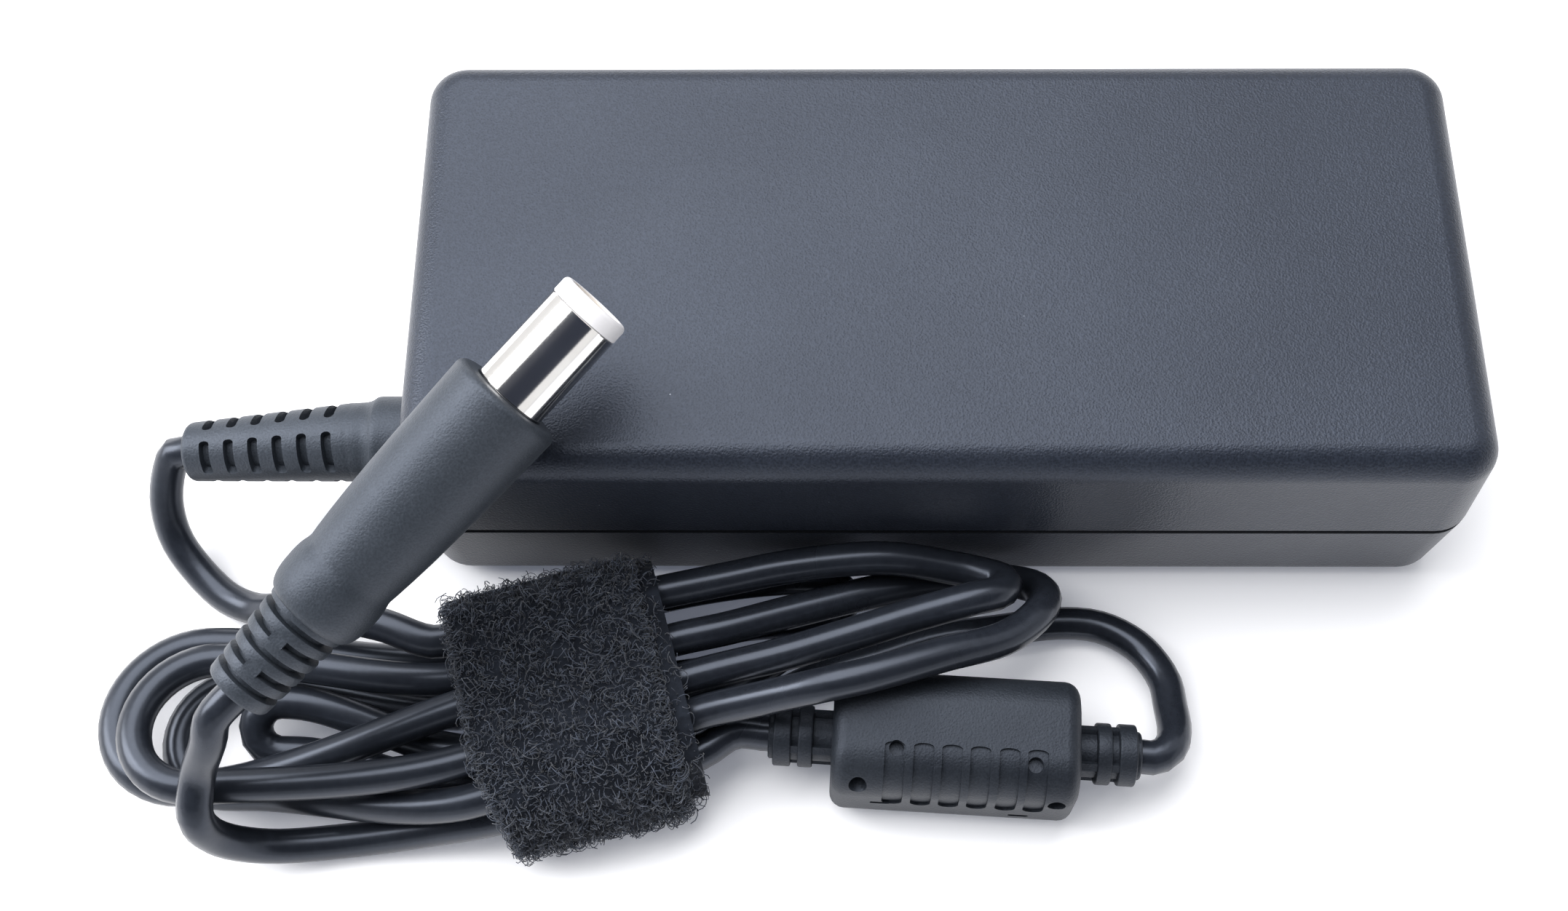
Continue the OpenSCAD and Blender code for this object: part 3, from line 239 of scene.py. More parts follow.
grip_l, shoulder_l, tail_l = 23, 4.6, 10
plug_heading, plug_rise = math.radians(43.6), math.radians(19.6)
plug_dir = heading(plug_heading, plug_rise)
plug_at = Vector((-41.1, -19.7, 35.601)) * mm
plug_end = plug_at - (grip_l + shoulder_l + tail_l) * mm * plug_dir
print("plug's cord end at", [round(c, 4) for c in plug_end])

# %% Join everything into one centreline
straight = 3.5 * mm
lead_route = [
    (-26.9, -9.1, 9.9), (-27.8, -6.3, 6.9), (-27.2, -3.2, 4), (-24.9, -0.2, 2.3), (-21.6, 2.7, 1.8),
    (-18.2, 4.3, 2.6), (-15, 5.2, 4.9), (-11.5, 6.2, 7), (-7, 7.2, 8.2), (-3, 8.2, 8.6),
]
arc_route = [
    (41.5, 11.6, 1.8), (47.5, 9.6, 1.8), (54, 7.4, 1.8), (61, 6.3, 1.8), (67, 5.5, 1.8), (71.5, 5.9, 1.8),
    (75.3, 8.2, 2.2), (77.6, 12, 3), (77.9, 15.2, 3.9), (77.9, 18.2, 5.1), (77.2, 20.2, 6.1),
]
plug_route = [
    (2, 28.1, 3), (-6, 28.9, 1.8), (-13.5, 29.9, 3.5), (-17.5, 30.1, 8),
    (-18.5, 29.1, 12.5), (-18, 25.6, 15), (-16, 23.6, 19.5),
]
lead_start = in_waist(-1, out_left[0])
lead_in = (in_waist(1, out_right[0]) - lead_start).normalized()
last_l, last_r = in_waist(-1, out_left[turns]), in_waist(1, out_right[turns])
knots = [
    relief_end - straight / 2 * relief_dir, relief_end, relief_end + straight / 2 * relief_dir,
    *[beside(place) for place in lead_route],
    lead_start - straight * lead_in,
    *hank,
    last_l, (last_l + last_r) / 2, last_r,
    *[beside(place) for place in arc_route],
    ferrite_at + (ferrite_reach + straight / 2) * ferrite_dir, ferrite_at + ferrite_reach * ferrite_dir,
    ferrite_at,
    ferrite_at - ferrite_reach * ferrite_dir, ferrite_at - (ferrite_reach + straight) * ferrite_dir,
    in_waist(1, ferrite_right_slot), in_waist(-1, ferrite_left_slot),
    *[beside(place) for place in plug_route],
    plug_end - straight * plug_dir, plug_end, plug_end + straight / 2 * plug_dir,
]
print("places that the cord passes:", len(knots))

# %% [markdown]
# A curve through such places must not overshoot where they lie close together. A
# Catmull-Rom curve whose steps follow the square root of the distance between places
# does not, so the points of the cord's curve are taken from one, a millimetre apart.

# %% Draw a smooth line through the places
def smooth_line(places, spacing):
    """Evenly spaced points on a centripetal Catmull-Rom curve through the places."""
    ends = [2 * places[0] - places[1], *places, 2 * places[-1] - places[-2]]
    fine = []
    for p0, p1, p2, p3 in zip(ends, ends[1:], ends[2:], ends[3:]):
        t1 = math.sqrt((p1 - p0).length)
        t2 = t1 + math.sqrt((p2 - p1).length)
        t3 = t2 + math.sqrt((p3 - p2).length)
        steps = max(2, int((p2 - p1).length / (0.25 * spacing)))
        for i in range(steps):
            t = t1 + (t2 - t1) * i / steps
            a1 = ((t1 - t) * p0 + t * p1) / t1
            a2 = ((t2 - t) * p1 + (t - t1) * p2) / (t2 - t1)
            a3 = ((t3 - t) * p2 + (t - t2) * p3) / (t3 - t2)
            b1 = ((t2 - t) * a1 + t * a2) / t2
            b2 = ((t3 - t) * a2 + (t - t1) * a3) / (t3 - t1)
            fine.append(((t2 - t) * b1 + (t - t1) * b2) / (t2 - t1))
    fine.append(places[-1].copy())
    line, gone = [fine[0]], 0.0
    for a, b in zip(fine, fine[1:]):
        gone += (b - a).length
        if gone >= spacing:
            line.append(b)
            gone = 0.0
    return line


centreline = smooth_line(knots, 1.0 * mm)

# %% Make the cord
cord_curve = bpy.data.curves.new("output_cord", "CURVE")
cord_curve.dimensions = "3D"
spline = cord_curve.splines.new("POLY")
spline.points.add(len(centreline) - 1)
for point, place in zip(spline.points, centreline):
    point.co = (*place, 1)
cord_curve.bevel_depth = cord_r
cord_curve.bevel_resolution = 5
cord_curve.use_fill_caps = True
cord = add_object("output_cord", cord_curve)
print("cord sides:", 2 * (cord_curve.bevel_resolution + 2))

# %% [markdown]
# ## Tools for modelling
# Each piece starts as a primitive and is shaped in edit mode by bevels, extrusions and
# cuts, as by hand. An operator works on all that is selected, so these helpers select
# one object and then only the faces or edges that pass a test on their place.

# %% Select one object, and pick faces or edges of it
def only(obj):
    """Makes obj the only selected object, and the active one."""
    bpy.ops.object.select_all(action="DESELECT")
    obj.select_set(True)
    bpy.context.view_layer.objects.active = obj


def edit(obj, whole=False):
    """Goes into edit mode on obj, with all of it selected if whole is set."""
    only(obj)
    bpy.ops.object.mode_set(mode="EDIT")
    if whole:
        bpy.ops.mesh.select_all(action="SELECT")


def leave_edit():
    """Goes back to object mode."""
    bpy.ops.object.mode_set(mode="OBJECT")


def pick(obj, kind, test):
    """Selects the faces or edges (kind FACE or EDGE) of obj that pass the test."""
    bpy.ops.mesh.select_mode(type=kind)
    bpy.ops.mesh.select_all(action="DESELECT")
    mesh = bmesh.from_edit_mesh(obj.data)
    for part in mesh.faces if kind == "FACE" else mesh.edges:
        if test(part):
            part.select_set(True)
    mesh.select_flush_mode()
    bmesh.update_edit_mesh(obj.data)


touch = 0.01 * mm


def level(edge, axis):
    """Whether both ends of an edge have the same value along an axis."""
    return abs(edge.verts[0].co[axis] - edge.verts[1].co[axis]) < touch


def lies_at(part, axis, value):
    """Whether a whole face or edge has this value, in mm, along an axis."""
    return all(abs(v.co[axis] - value * mm) < touch for v in part.verts)


def round_edges(obj, size, segments, test):
    """Rounds the edges of obj that pass the test, by a size in mm."""
    edit(obj)
    pick(obj, "EDGE", test)
    bpy.ops.mesh.bevel(offset=size * mm, segments=segments, affect="EDGES")
    leave_edit()


def delete_faces(obj, test):
    """Deletes the faces of obj that pass the test."""
    edit(obj)
    pick(obj, "FACE", test)
    bpy.ops.mesh.delete(type="FACE")
    leave_edit()


def apply_modifier(obj, kind, **settings):
    """Adds a modifier with these settings to obj and applies it."""
    only(obj)
    bpy.ops.object.modifier_add(type=kind)
    modifier = obj.modifiers[-1]
    for name, value in settings.items():
        setattr(modifier, name, value)
    bpy.ops.object.modifier_apply(modifier=modifier.name)


def outwards(obj):
    """Merges doubles and makes all faces of a closed piece point outwards."""
    edit(obj, True)
    bpy.ops.mesh.remove_doubles(threshold=touch / 10)
    bpy.ops.mesh.normals_make_consistent(inside=False)
    leave_edit()


print("modelling helpers ready")

# %% Primitives, turned forms and cuts
def block(centre, size, rounding=0, segments=4, axis=None):
    """A box, in mm; with an axis, only the edges along that axis are rounded."""
    bpy.ops.object.select_all(action="DESELECT")
    bpy.ops.mesh.primitive_cube_add(size=1, location=Vector(centre) * mm, scale=Vector(size) * mm)
    obj = bpy.context.object
    bpy.ops.object.transform_apply()
    if rounding:
        round_edges(obj, rounding, segments, lambda e: axis is None or not level(e, axis))
    return obj


def arc(centre, radius, start, end, steps):
    """Points of an arc as (radius, height) pairs in mm, with angles in degrees."""
    angles = [math.radians(start + (end - start) * i / steps) for i in range(steps + 1)]
    return [(centre[0] + radius * math.cos(a), centre[1] + radius * math.sin(a)) for a in angles]


def turned(rings, sides=64, hollow=False):
    """A piece turned about z from (radius, height) rings in mm; a hollow one closes on itself."""
    bpy.ops.object.select_all(action="DESELECT")
    radius, height = rings[0]
    fill = "NOTHING" if hollow else "NGON"
    bpy.ops.mesh.primitive_circle_add(
        vertices=sides, radius=radius * mm, fill_type=fill, location=(0, 0, height * mm)
    )
    obj = bpy.context.object
    bpy.ops.object.transform_apply()
    edit(obj, True)
    for wide, high in [*rings[1:], *([rings[0]] if hollow else [])]:
        bpy.ops.mesh.extrude_region_move(TRANSFORM_OT_translate={"value": (0, 0, (high - height) * mm)})
        bpy.ops.transform.resize(value=(wide / radius, wide / radius, 1), center_override=(0, 0, high * mm))
        radius, height = wide, high
    leave_edit()
    outwards(obj)
    return obj


def spun(obj, radius, degrees, steps):
    """A ring sector: a flat piece at the origin is stood up, moved out by mm and spun round z."""
    edit(obj, True)
    bpy.ops.transform.rotate(value=math.pi / 2, orient_axis="X", center_override=(0, 0, 0))
    bpy.ops.transform.translate(value=(radius * mm, 0, 0))
    bpy.ops.mesh.spin(steps=steps, angle=math.radians(degrees), center=(0, 0, 0), axis=(0, 0, -1))
    leave_edit()
    outwards(obj)


def swept(radial, axial, inner, turn, degrees, steps):
    """A ring sector of a radial x axial face in mm, from the inner radius outwards."""
    bpy.ops.object.select_all(action="DESELECT")
    bpy.ops.mesh.primitive_plane_add(size=1)
    obj = bpy.context.object
    edit(obj, True)
    bpy.ops.transform.resize(value=(radial * mm, axial * mm, 1), center_override=(0, 0, 0))
    leave_edit()
    spun(obj, inner + radial / 2, degrees, steps)
    place_mesh(obj, placed(turn=math.radians(turn)))
    return obj


def copy_of(obj, place):
    """A copy of obj with a mesh of its own, moved by the matrix place."""
    twin = add_object(obj.name, obj.data.copy())
    twin.data.transform(place)
    return twin


def join(pieces):
    """Joins pieces into the first of them."""
    bpy.ops.object.select_all(action="DESELECT")
    for piece in pieces:
        piece.select_set(True)
    bpy.context.view_layer.objects.active = pieces[0]
    bpy.ops.object.join()
    return pieces[0]


def combine(obj, tool, operation="DIFFERENCE"):
    """Cuts the tool out of obj, or adds it with UNION, and removes the tool."""
    apply_modifier(obj, "BOOLEAN", object=tool, operation=operation, solver="EXACT")
    bpy.data.objects.remove(tool)


def placed(place=(0, 0, 0), turn=0.0, axis="Z"):
    """The matrix that turns a piece about an axis and moves it to a place in metres."""
    return Matrix.Translation(place) @ Matrix.Rotation(turn, 4, axis)


def place_mesh(obj, place):
    """Moves a piece's mesh by a matrix, so that its object stays at the origin."""
    only(obj)
    obj.matrix_world = place
    bpy.ops.object.transform_apply()


print("primitives and cuts ready")

# %% Give a piece its name, finish and body
def finish_piece(obj, name, slot, stands_for, place=None, body="adapter", angle=32):
    """Places and smooths a piece, dresses it in its slot's material and lets it ride on its body."""
    if place is not None:
        place_mesh(obj, place)
    only(obj)
    bpy.ops.object.shade_smooth_by_angle(angle=math.radians(angle))
    apply_modifier(obj, "WEIGHTED_NORMAL", weight=50, keep_sharp=True)
    obj.name = obj.data.name = name
    obj.data.materials.clear()
    obj.data.materials.append(materials[slot])
    if body:
        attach(obj, body)
    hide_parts(stands_for)
    print(name, "faces:", len(obj.data.polygons))


# %% [markdown]
# ## Shared effects for the finishes
# Moulded plastic is never even: the mould leaves a fine grain, handling leaves patches
# that shine a little more, and dust settles in specks. These effects are node groups,
# built once and placed in each material with its own values. They read object
# coordinates, so a pattern keeps its scale in millimetres on every piece.

# %% Build a node group from a short description
def new_group(name, inputs, outputs):
    """An empty node group with float inputs (name, default) and float outputs."""
    group = bpy.data.node_groups.new(name, "ShaderNodeTree")
    group.interface.new_socket("Vector", in_out="INPUT", socket_type="NodeSocketVector")
    for label, value in inputs:
        socket = group.interface.new_socket(label, in_out="INPUT", socket_type="NodeSocketFloat")
        socket.default_value = value
    for label in outputs:
        group.interface.new_socket(label, in_out="OUTPUT", socket_type="NodeSocketFloat")
    return group, group.nodes.new("NodeGroupInput").outputs, group.nodes.new("NodeGroupOutput")


def feed(tree, made, inputs):
    """Gives a node its inputs, which are values or sockets to link, by name or number."""
    for key, value in inputs.items():
        if isinstance(value, bpy.types.NodeSocket):
            tree.links.new(value, made.inputs[key])
        else:
            made.inputs[key].default_value = value


def node(tree, kind, inputs=None, **settings):
    """Adds a node with its settings and inputs."""
    made = tree.nodes.new("ShaderNode" + kind)
    for name, value in settings.items():
        setattr(made, name, value)
    feed(tree, made, inputs or {})
    return made


def blended(tree, mask, low, high, **settings):
    """A colour that is low where the mask is 0 and high where it is 1."""
    return node(tree, "Mix", {0: mask, 6: low, 7: high}, data_type="RGBA", **settings).outputs[2]


print("node helpers ready")

# %% Grain, mottle and dust
grain_group, given, put = new_group("grain", [("Grain", 2600.0), ("Roundness", 0.5)], ["Height", "Valley"])
fine = node(
    grain_group, "TexNoise",
    {"Vector": given["Vector"], "Scale": given["Grain"], "Detail": 2.5, "Roughness": 0.6},
)
cells = node(
    grain_group, "TexVoronoi",
    {"Vector": given["Vector"], "Scale": given["Grain"], "Smoothness": 0.6},
    feature="SMOOTH_F1",
)
both = node(grain_group, "Mix", {0: given["Roundness"], 2: fine.outputs["Fac"], 3: cells.outputs["Distance"]})
valley = node(grain_group, "MapRange", {0: both.outputs[0], 1: 0.35, 2: 0.65})
feed(grain_group, put, {"Height": both.outputs[0], "Valley": valley.outputs[0]})

mottle_group, given, put = new_group("mottle", [("Patch", 55.0)], ["Patches", "Smudges"])
wide = node(
    mottle_group, "TexNoise",
    {"Vector": given["Vector"], "Scale": given["Patch"], "Detail": 4.0, "Roughness": 0.55},
)
patches = node(mottle_group, "MapRange", {0: wide.outputs["Fac"], 1: 0.35, 2: 0.68})
rub = node(
    mottle_group, "TexNoise",
    {"Vector": given["Vector"], "Scale": 22.0, "Detail": 5.0, "Roughness": 0.62, "Distortion": 0.7},
)
smudges = node(mottle_group, "MapRange", {0: rub.outputs["Fac"], 1: 0.42, 2: 0.7})
feed(mottle_group, put, {"Patches": patches.outputs[0], "Smudges": smudges.outputs[0]})

dust_group, given, put = new_group(
    "dust", [("Spread", 260.0), ("Size", 0.02), ("Share", 0.16)], ["Specks"]
)
motes = node(dust_group, "TexVoronoi", {"Vector": given["Vector"], "Scale": given["Spread"]})
near = node(dust_group, "Math", {0: motes.outputs["Distance"], 1: given["Size"]}, operation="LESS_THAN")
chance = node(dust_group, "SeparateColor", {0: motes.outputs["Color"]})
rare = node(dust_group, "Math", {0: chance.outputs[0], 1: given["Share"]}, operation="LESS_THAN")
specks = node(dust_group, "Math", {0: near.outputs[0], 1: rare.outputs[0]}, operation="MULTIPLY")
feed(dust_group, put, {"Specks": specks.outputs[0]})
print("groups:", [g.name for g in bpy.data.node_groups])

# %% [markdown]
# ## The finishes
# Most pieces are one of a few kinds: grained plastic, smooth plastic, or metal. One
# function builds such a material from its colours, roughness and the size and height of
# its grain; the pieces that need more, such as wound wire and fleece, add to it. Most
# names are the material slots of the construction model's record.

# %% A material of two tones, with grain, smudges and dust
materials = {}
dust_colour = (0.24, 0.26, 0.3, 1)


def new_material(name):
    """A new material, with its node tree and its shader."""
    material = bpy.data.materials.new(name)
    material.use_nodes = True
    return material, material.node_tree, material.node_tree.nodes["Principled BSDF"]


def finish(
    slot, dark, light, rough=(0.45, 0.6), grain=2600.0, height=0.02, roundness=0.5, patch=55.0,
    dust=0.0, metallic=0.0, specular=0.5, coat=0.0, tint=(1, 1, 1), pits=(0.86, 1.1),
):
    """Makes a material; grain is per metre, height in mm, pits the painted shade in the grain's valleys and
    painted light on its ridges.
    """
    materials[slot], tree, shader = new_material(slot)
    place = node(tree, "TexCoord").outputs["Object"]
    tone = node(tree, "Group", {"Vector": place, "Patch": patch}, node_tree=mottle_group)
    skin = node(
        tree, "Group", {"Vector": place, "Grain": grain, "Roundness": roundness}, node_tree=grain_group
    )
    colour = blended(tree, tone.outputs["Patches"], (*dark, 1), (*light, 1))
    # Painted shade and light on the grain: its valleys are darkened and its ridges lightened in colour.
    valley, ridge = ((value, value, value, 1) for value in pits)
    shade = blended(tree, skin.outputs["Valley"], valley, ridge)
    paint = blended(tree, 1.0, colour, shade, blend_type="MULTIPLY")
    if dust:
        motes = node(tree, "Group", {"Vector": place, "Share": dust}, node_tree=dust_group)
        paint = blended(tree, motes.outputs["Specks"], paint, dust_colour)
    shine = node(tree, "MapRange", {0: tone.outputs["Smudges"], 3: rough[1], 4: rough[0]})
    bump = node(tree, "Bump", {"Strength": 1.0, "Distance": height * mm, "Height": skin.outputs["Height"]})
    feed(tree, shader, {
        "Base Color": paint, "Roughness": shine.outputs[0], "Normal": bump.outputs[0],
        "Metallic": metallic, "Specular IOR Level": specular, "Specular Tint": (*tint, 1),
        "Coat Weight": coat, "Coat Roughness": 0.15,
    })
    return tree, shader


print("a finish is made by one call")

# %% [markdown]
# The case and the moulded parts on the cord are of black plastic that mirrors a little
# bluish. The seam of the case gets a painted shadow: a mask on the height makes the
# plastic black and matt there. The ferrite's block gets a darker copy of the grip's
# plastic, a painted shade. In all these lists a finish is its slot, its dark and light
# tone, its least and most roughness, its grain with height and roundness, and its patch.

# %% The outside
cool = (0.74, 0.82, 1)
tree, shader = finish(
    "case_plastic", (0.013, 0.016, 0.024), (0.018, 0.022, 0.032), (0.3, 0.38), 4600, 0.06, 0.45, 40, 0.2,
    specular=0.4, tint=cool, pits=(0.7, 1.35),
)
# Painted shadow in the seam: a band round the seam's height is made black and matt.
seam_shadow_z, seam_shadow_reach, seam_shadow_colour = 13.97 * mm, 0.36 * mm, (0.001, 0.001, 0.0012, 1)
height = node(tree, "SeparateXYZ", {0: node(tree, "TexCoord").outputs["Object"]}).outputs[2]
seam_shadow_mask = node(tree, "Math", {0: height, 1: seam_shadow_z, 2: seam_shadow_reach}, operation="COMPARE").outputs[0]
paint, shine = (shader.inputs[label].links[0].from_socket for label in ("Base Color", "Roughness"))
matt = node(tree, "Mix", {0: seam_shadow_mask, 2: shine, 3: 1.0}).outputs[0]
feed(tree, shader, {"Base Color": blended(tree, seam_shadow_mask, paint, seam_shadow_colour), "Roughness": matt})
for *look, dust, specular, pits in (
    ("overmould_plastic", (0.021, 0.026, 0.033), (0.035, 0.041, 0.051), (0.4, 0.5), 4600, 0.05, 0.4, 90,
     0.06, 0.5, (0.8, 1.25)),
    # A darker copy of the overmould plastic for the ferrite block: painted shade.
    ("choke_plastic", (0.009, 0.011, 0.015), (0.015, 0.018, 0.023), (0.42, 0.52), 4600, 0.05, 0.4, 90,
     0.06, 0.35, (0.8, 1.25)),
    ("cord_jacket", (0.011, 0.013, 0.018), (0.016, 0.019, 0.026), (0.22, 0.3), 1500, 0.004, 0.1, 140,
     0.04, 0.5, (0.86, 1.1)),
):
    finish(*look, dust=dust, specular=specular, tint=cool, pits=pits)
finish("inlet_plastic", (0.012, 0.012, 0.013), (0.02, 0.02, 0.022), (0.3, 0.42), 4200, 0.006, 0.3)
finish(
    "white_plastic", (0.88, 0.87, 0.9), (0.93, 0.92, 0.95), (0.3, 0.42), 3000, 0.004, 0.2, 300,
    pits=(0.98, 1),
)
print("outside finishes:", len(materials))

# %% [markdown]
# The parts inside the case are bare metal, moulded packages, sleeves and coatings, each
# in the colour that such a part usually has. They only need the common finish. Each line
# ends with how metallic the finish is and how much clear coat it has.

# %% Metals and the inside of the case
for *look, metallic, coat in (
    ("pin_metal", (0.56, 0.55, 0.52), (0.7, 0.69, 0.66), (0.18, 0.34), 3800, 0.003, 0.1, 240, 1, 0),
    ("contact_brass", (0.68, 0.5, 0.2), (0.8, 0.62, 0.3), (0.16, 0.3), 3800, 0.002, 0.1, 240, 1, 0),
    ("sheet_aluminium", (0.5, 0.51, 0.53), (0.68, 0.69, 0.71), (0.28, 0.45), 1800, 0.01, 0.1, 90, 1, 0),
    ("board_laminate", (0.02, 0.1, 0.035), (0.04, 0.16, 0.06), (0.2, 0.34), 1400, 0.01, 0.2, 160, 0, 0.3),
    ("insulation_film", (0.62, 0.42, 0.09), (0.75, 0.55, 0.16), (0.14, 0.26), 900, 0.01, 0.1, 60, 0, 0.4),
    ("fuse_ceramic", (0.72, 0.68, 0.58), (0.84, 0.8, 0.71), (0.22, 0.36), 2000, 0.01, 0.2, 300, 0, 0.3),
    ("thermistor_coating", (0.04, 0.13, 0.07), (0.08, 0.2, 0.11), (0.34, 0.5), 1300, 0.03, 0.4, 300, 0, 0),
    ("film_box", (0.62, 0.46, 0.1), (0.74, 0.58, 0.16), (0.3, 0.45), 2600, 0.01, 0.4, 120, 0, 0),
    ("ferrite", (0.045, 0.046, 0.05), (0.09, 0.092, 0.1), (0.55, 0.75), 2400, 0.04, 0.6, 260, 0, 0),
    ("package_plastic", (0.02, 0.02, 0.022), (0.035, 0.035, 0.038), (0.45, 0.6), 3200, 0.012, 0.5, 200, 0, 0),
    ("winding_tape", (0.72, 0.62, 0.12), (0.84, 0.74, 0.2), (0.16, 0.3), 700, 0.02, 0.1, 90, 0, 0.3),
    ("disc_coating", (0.08, 0.16, 0.4), (0.12, 0.24, 0.52), (0.3, 0.45), 1300, 0.03, 0.4, 300, 0, 0),
    ("opto_plastic", (0.7, 0.69, 0.64), (0.8, 0.79, 0.75), (0.35, 0.5), 3000, 0.008, 0.4, 200, 0, 0),
    ("output_capacitor_sleeve", (0.05, 0.05, 0.12), (0.09, 0.09, 0.2), (0.16, 0.28), 900, 0.01, 0.1, 120,
     0, 0.3),
    ("capacitor_sleeve", (0.02, 0.022, 0.03), (0.05, 0.055, 0.07), (0.16, 0.28), 900, 0.01, 0.1, 120, 0, 0.3),
    ("wire_insulation", (0.5, 0.03, 0.02), (0.62, 0.07, 0.05), (0.3, 0.42), 2600, 0.006, 0.2, 240, 0, 0),
):
    finish(*look, metallic=metallic, coat=coat)
print("plain finishes:", len(materials))

# %% [markdown]
# Wound copper shows its wire, so fine bands across the winding raise its surface. Nickel
# plate on a barrel is nearly a mirror, but never quite even, so its reflections get a
# very shallow noise, less than a thousandth of a millimetre high. Both are a second
# relief on top of the grain, made by a bump that takes the first one's normal.

# %% Copper wire, and nickel plate
def second_relief(tree, shader, pattern, depth):
    """Raises a finish by a pattern, depth in mm, on top of its grain."""
    bump = node(tree, "Bump", {"Strength": 1.0, "Distance": depth * mm, "Height": pattern.outputs["Fac"]})
    tree.links.new(shader.inputs["Normal"].links[0].from_socket, bump.inputs["Normal"])
    tree.links.new(bump.outputs[0], shader.inputs["Normal"])


tree, shader = finish(
    "copper_wire", (0.3, 0.12, 0.04), (0.45, 0.2, 0.08), (0.22, 0.34), 900, 0.01, 0.1, 120, metallic=0.6
)
place = node(tree, "TexCoord").outputs["Object"]
strands = node(tree, "TexWave", {"Vector": place, "Scale": 330.0, "Distortion": 0.6}, bands_direction="Z")
second_relief(tree, shader, strands, 0.12)

tree, shader = finish(
    "nickel", (0.78, 0.76, 0.74), (0.88, 0.87, 0.86), (0.07, 0.12), 5200, 0.0002, 0.1, 160,
    metallic=1.0, pits=(1, 1),
)
place = node(tree, "TexCoord").outputs["Object"]
from_plug = node(tree, "Mapping", {"Vector": place, "Location": -plug_at})
uneven = node(tree, "TexNoise", {"Vector": from_plug.outputs[0], "Scale": 700.0, "Detail": 2.0})
second_relief(tree, shader, uneven, 0.0004)
print("materials:", sorted(materials))

# %% [markdown]
# The webbing of a hook-and-loop strap soaks up light, so it is nearly black, with a
# blotchy height and a weak sheen. Its pile is modelled fibre by fibre. Nylon fibres are
# smoother than the webbing and catch the light, so their colour is painted lighter than
# the webbing's, a painted sheen that changes from fibre to fibre.

# %% Webbing and the fibres of its pile
tree, shader = finish(
    "hook_and_loop", (0.004, 0.005, 0.008), (0.013, 0.016, 0.023), (0.75, 0.92), 1500, 0.22, 0.6, 420,
    specular=0.25, tint=cool,
)
feed(tree, shader, {"Sheen Weight": 0.12, "Sheen Roughness": 0.4})
# The fibres' colour, lighter than the webbing's, is a painted sheen.
tree, shader = finish(
    "pile_fibre_painted_sheen", (0.014, 0.018, 0.028), (0.048, 0.059, 0.085), (0.4, 0.6), 900, 0.01, 0.1, 900, tint=cool
)
feed(tree, shader, {"Sheen Weight": 0.2})
print("fleece:", materials["hook_and_loop"].name, "and", materials["pile_fibre_painted_sheen"].name)

# %% [markdown]
# ## The case
# The case is two moulded halves, welded along a seam. Each is drawn as a box with
# rounded upright corners, drawn in towards its face, and rounded along the edge of that
# face. Its open side is deleted and Solidify gives it a wall. The lower half carries a
# tongue that fits a step in the upper one, so no light passes through the seam.

# %% Shape half of the case
case_h, seam_gap = 28, 0.3
corner_r, case_draft, case_wall = 4, 0.7, 2.2
tongue_h = 1.6


def from_outline(place):
    """How far a place lies inside the case's outline at the seam, in mm."""
    x = abs(place.x) - case_l / 2 + corner_r * mm
    y = abs(place.y) - case_w / 2 + corner_r * mm
    out = math.hypot(x, y) if x > 0 and y > 0 else max(x, y)
    return corner_r - out / mm


def cover(seam, face, edge_r, lip_r):
    """A hollow half of the case, from its seam to its face, with its edge and lip rounded, in mm."""
    up = 1 if face > seam else -1
    obj = block((0, 0, (seam + face) / 2), (case_l / mm, case_w / mm, abs(face - seam)), corner_r, 10, 2)
    edit(obj)
    pick(obj, "FACE", lambda f: f.normal.z * up > 0.9)
    lean = [1 - 2 * case_draft * mm / size for size in (case_l, case_w)]
    bpy.ops.transform.resize(value=(*lean, 1), center_override=(0, 0, 0))
    leave_edit()
    round_edges(obj, edge_r, 9, lambda e: lies_at(e, 2, face))
    delete_faces(obj, lambda f: f.normal.z * up < -0.9)
    apply_modifier(obj, "SOLIDIFY", thickness=case_wall * mm, offset=-1, use_even_offset=True)
    round_edges(
        obj, lip_r, 3,
        lambda e: lies_at(e, 2, seam) and all(from_outline(v.co) < 0.05 for v in e.verts),
    )
    return obj


top_cover = cover(seam_z + seam_gap, case_h, 3, 0.15)
bottom_cover = cover(seam_z, 0, 3.4, 0.35)
print("walls of the covers:", case_wall, "mm")

# %% Fit the tongue and the step at the seam
def inner_block(inset, middle, high):
    """A block that fills the case's outline up to an inset from its side, in mm."""
    size = (case_l / mm - 2 * inset, case_w / mm - 2 * inset, high)
    return block((0, 0, middle), size, corner_r - inset, 8, 2)


step_inset, tongue_inset = 1.2, 1.3
combine(top_cover, inner_block(step_inset, seam_z + tongue_h / 2, 2 + tongue_h))
tongue = inner_block(tongue_inset, seam_z + tongue_h / 2 - 1, 2 + tongue_h)
combine(tongue, inner_block(case_wall, seam_z, 8))
combine(bottom_cover, tongue, "UNION")
print("seam gap:", seam_gap, "mm")

# %% Open the case for the cord and the mains inlet, and recess the label place
outlet_r, inlet_w, inlet_h, inlet_z = 3.8, 20.7, 13.7, 14.3
label_l, label_w, label_depth, label_corner_r = 80, 33, 0.3, 1.6
post_x, post_y, board_z = 45.5, 16.5, 6
inlet_opening = block((53.5, 0, inlet_z), (5, inlet_w, inlet_h))
for half in (top_cover, bottom_cover):
    outlet = turned([(outlet_r, -3), (outlet_r, 3)], 32)
    place_mesh(outlet, placed(relief_root, math.pi / 2, "Y"))
    combine(half, outlet)
    combine(half, copy_of(inlet_opening, placed()))
bpy.data.objects.remove(inlet_opening)
combine(bottom_cover, block((0, 0, label_depth - 1), (label_l, label_w, 2), label_corner_r, 5, 2))
post = turned([(3.4, 1.6), (3.4, 2.3), *arc((3.4, 3.8), 1.4, -90, -180, 5), (2, board_z)], 32)
for x, y in ((-1, -1), (-1, 1), (1, -1), (1, 1)):
    combine(bottom_cover, copy_of(post, placed(Vector((x * post_x, y * post_y, 0)) * mm)), "UNION")
bpy.data.objects.remove(post)
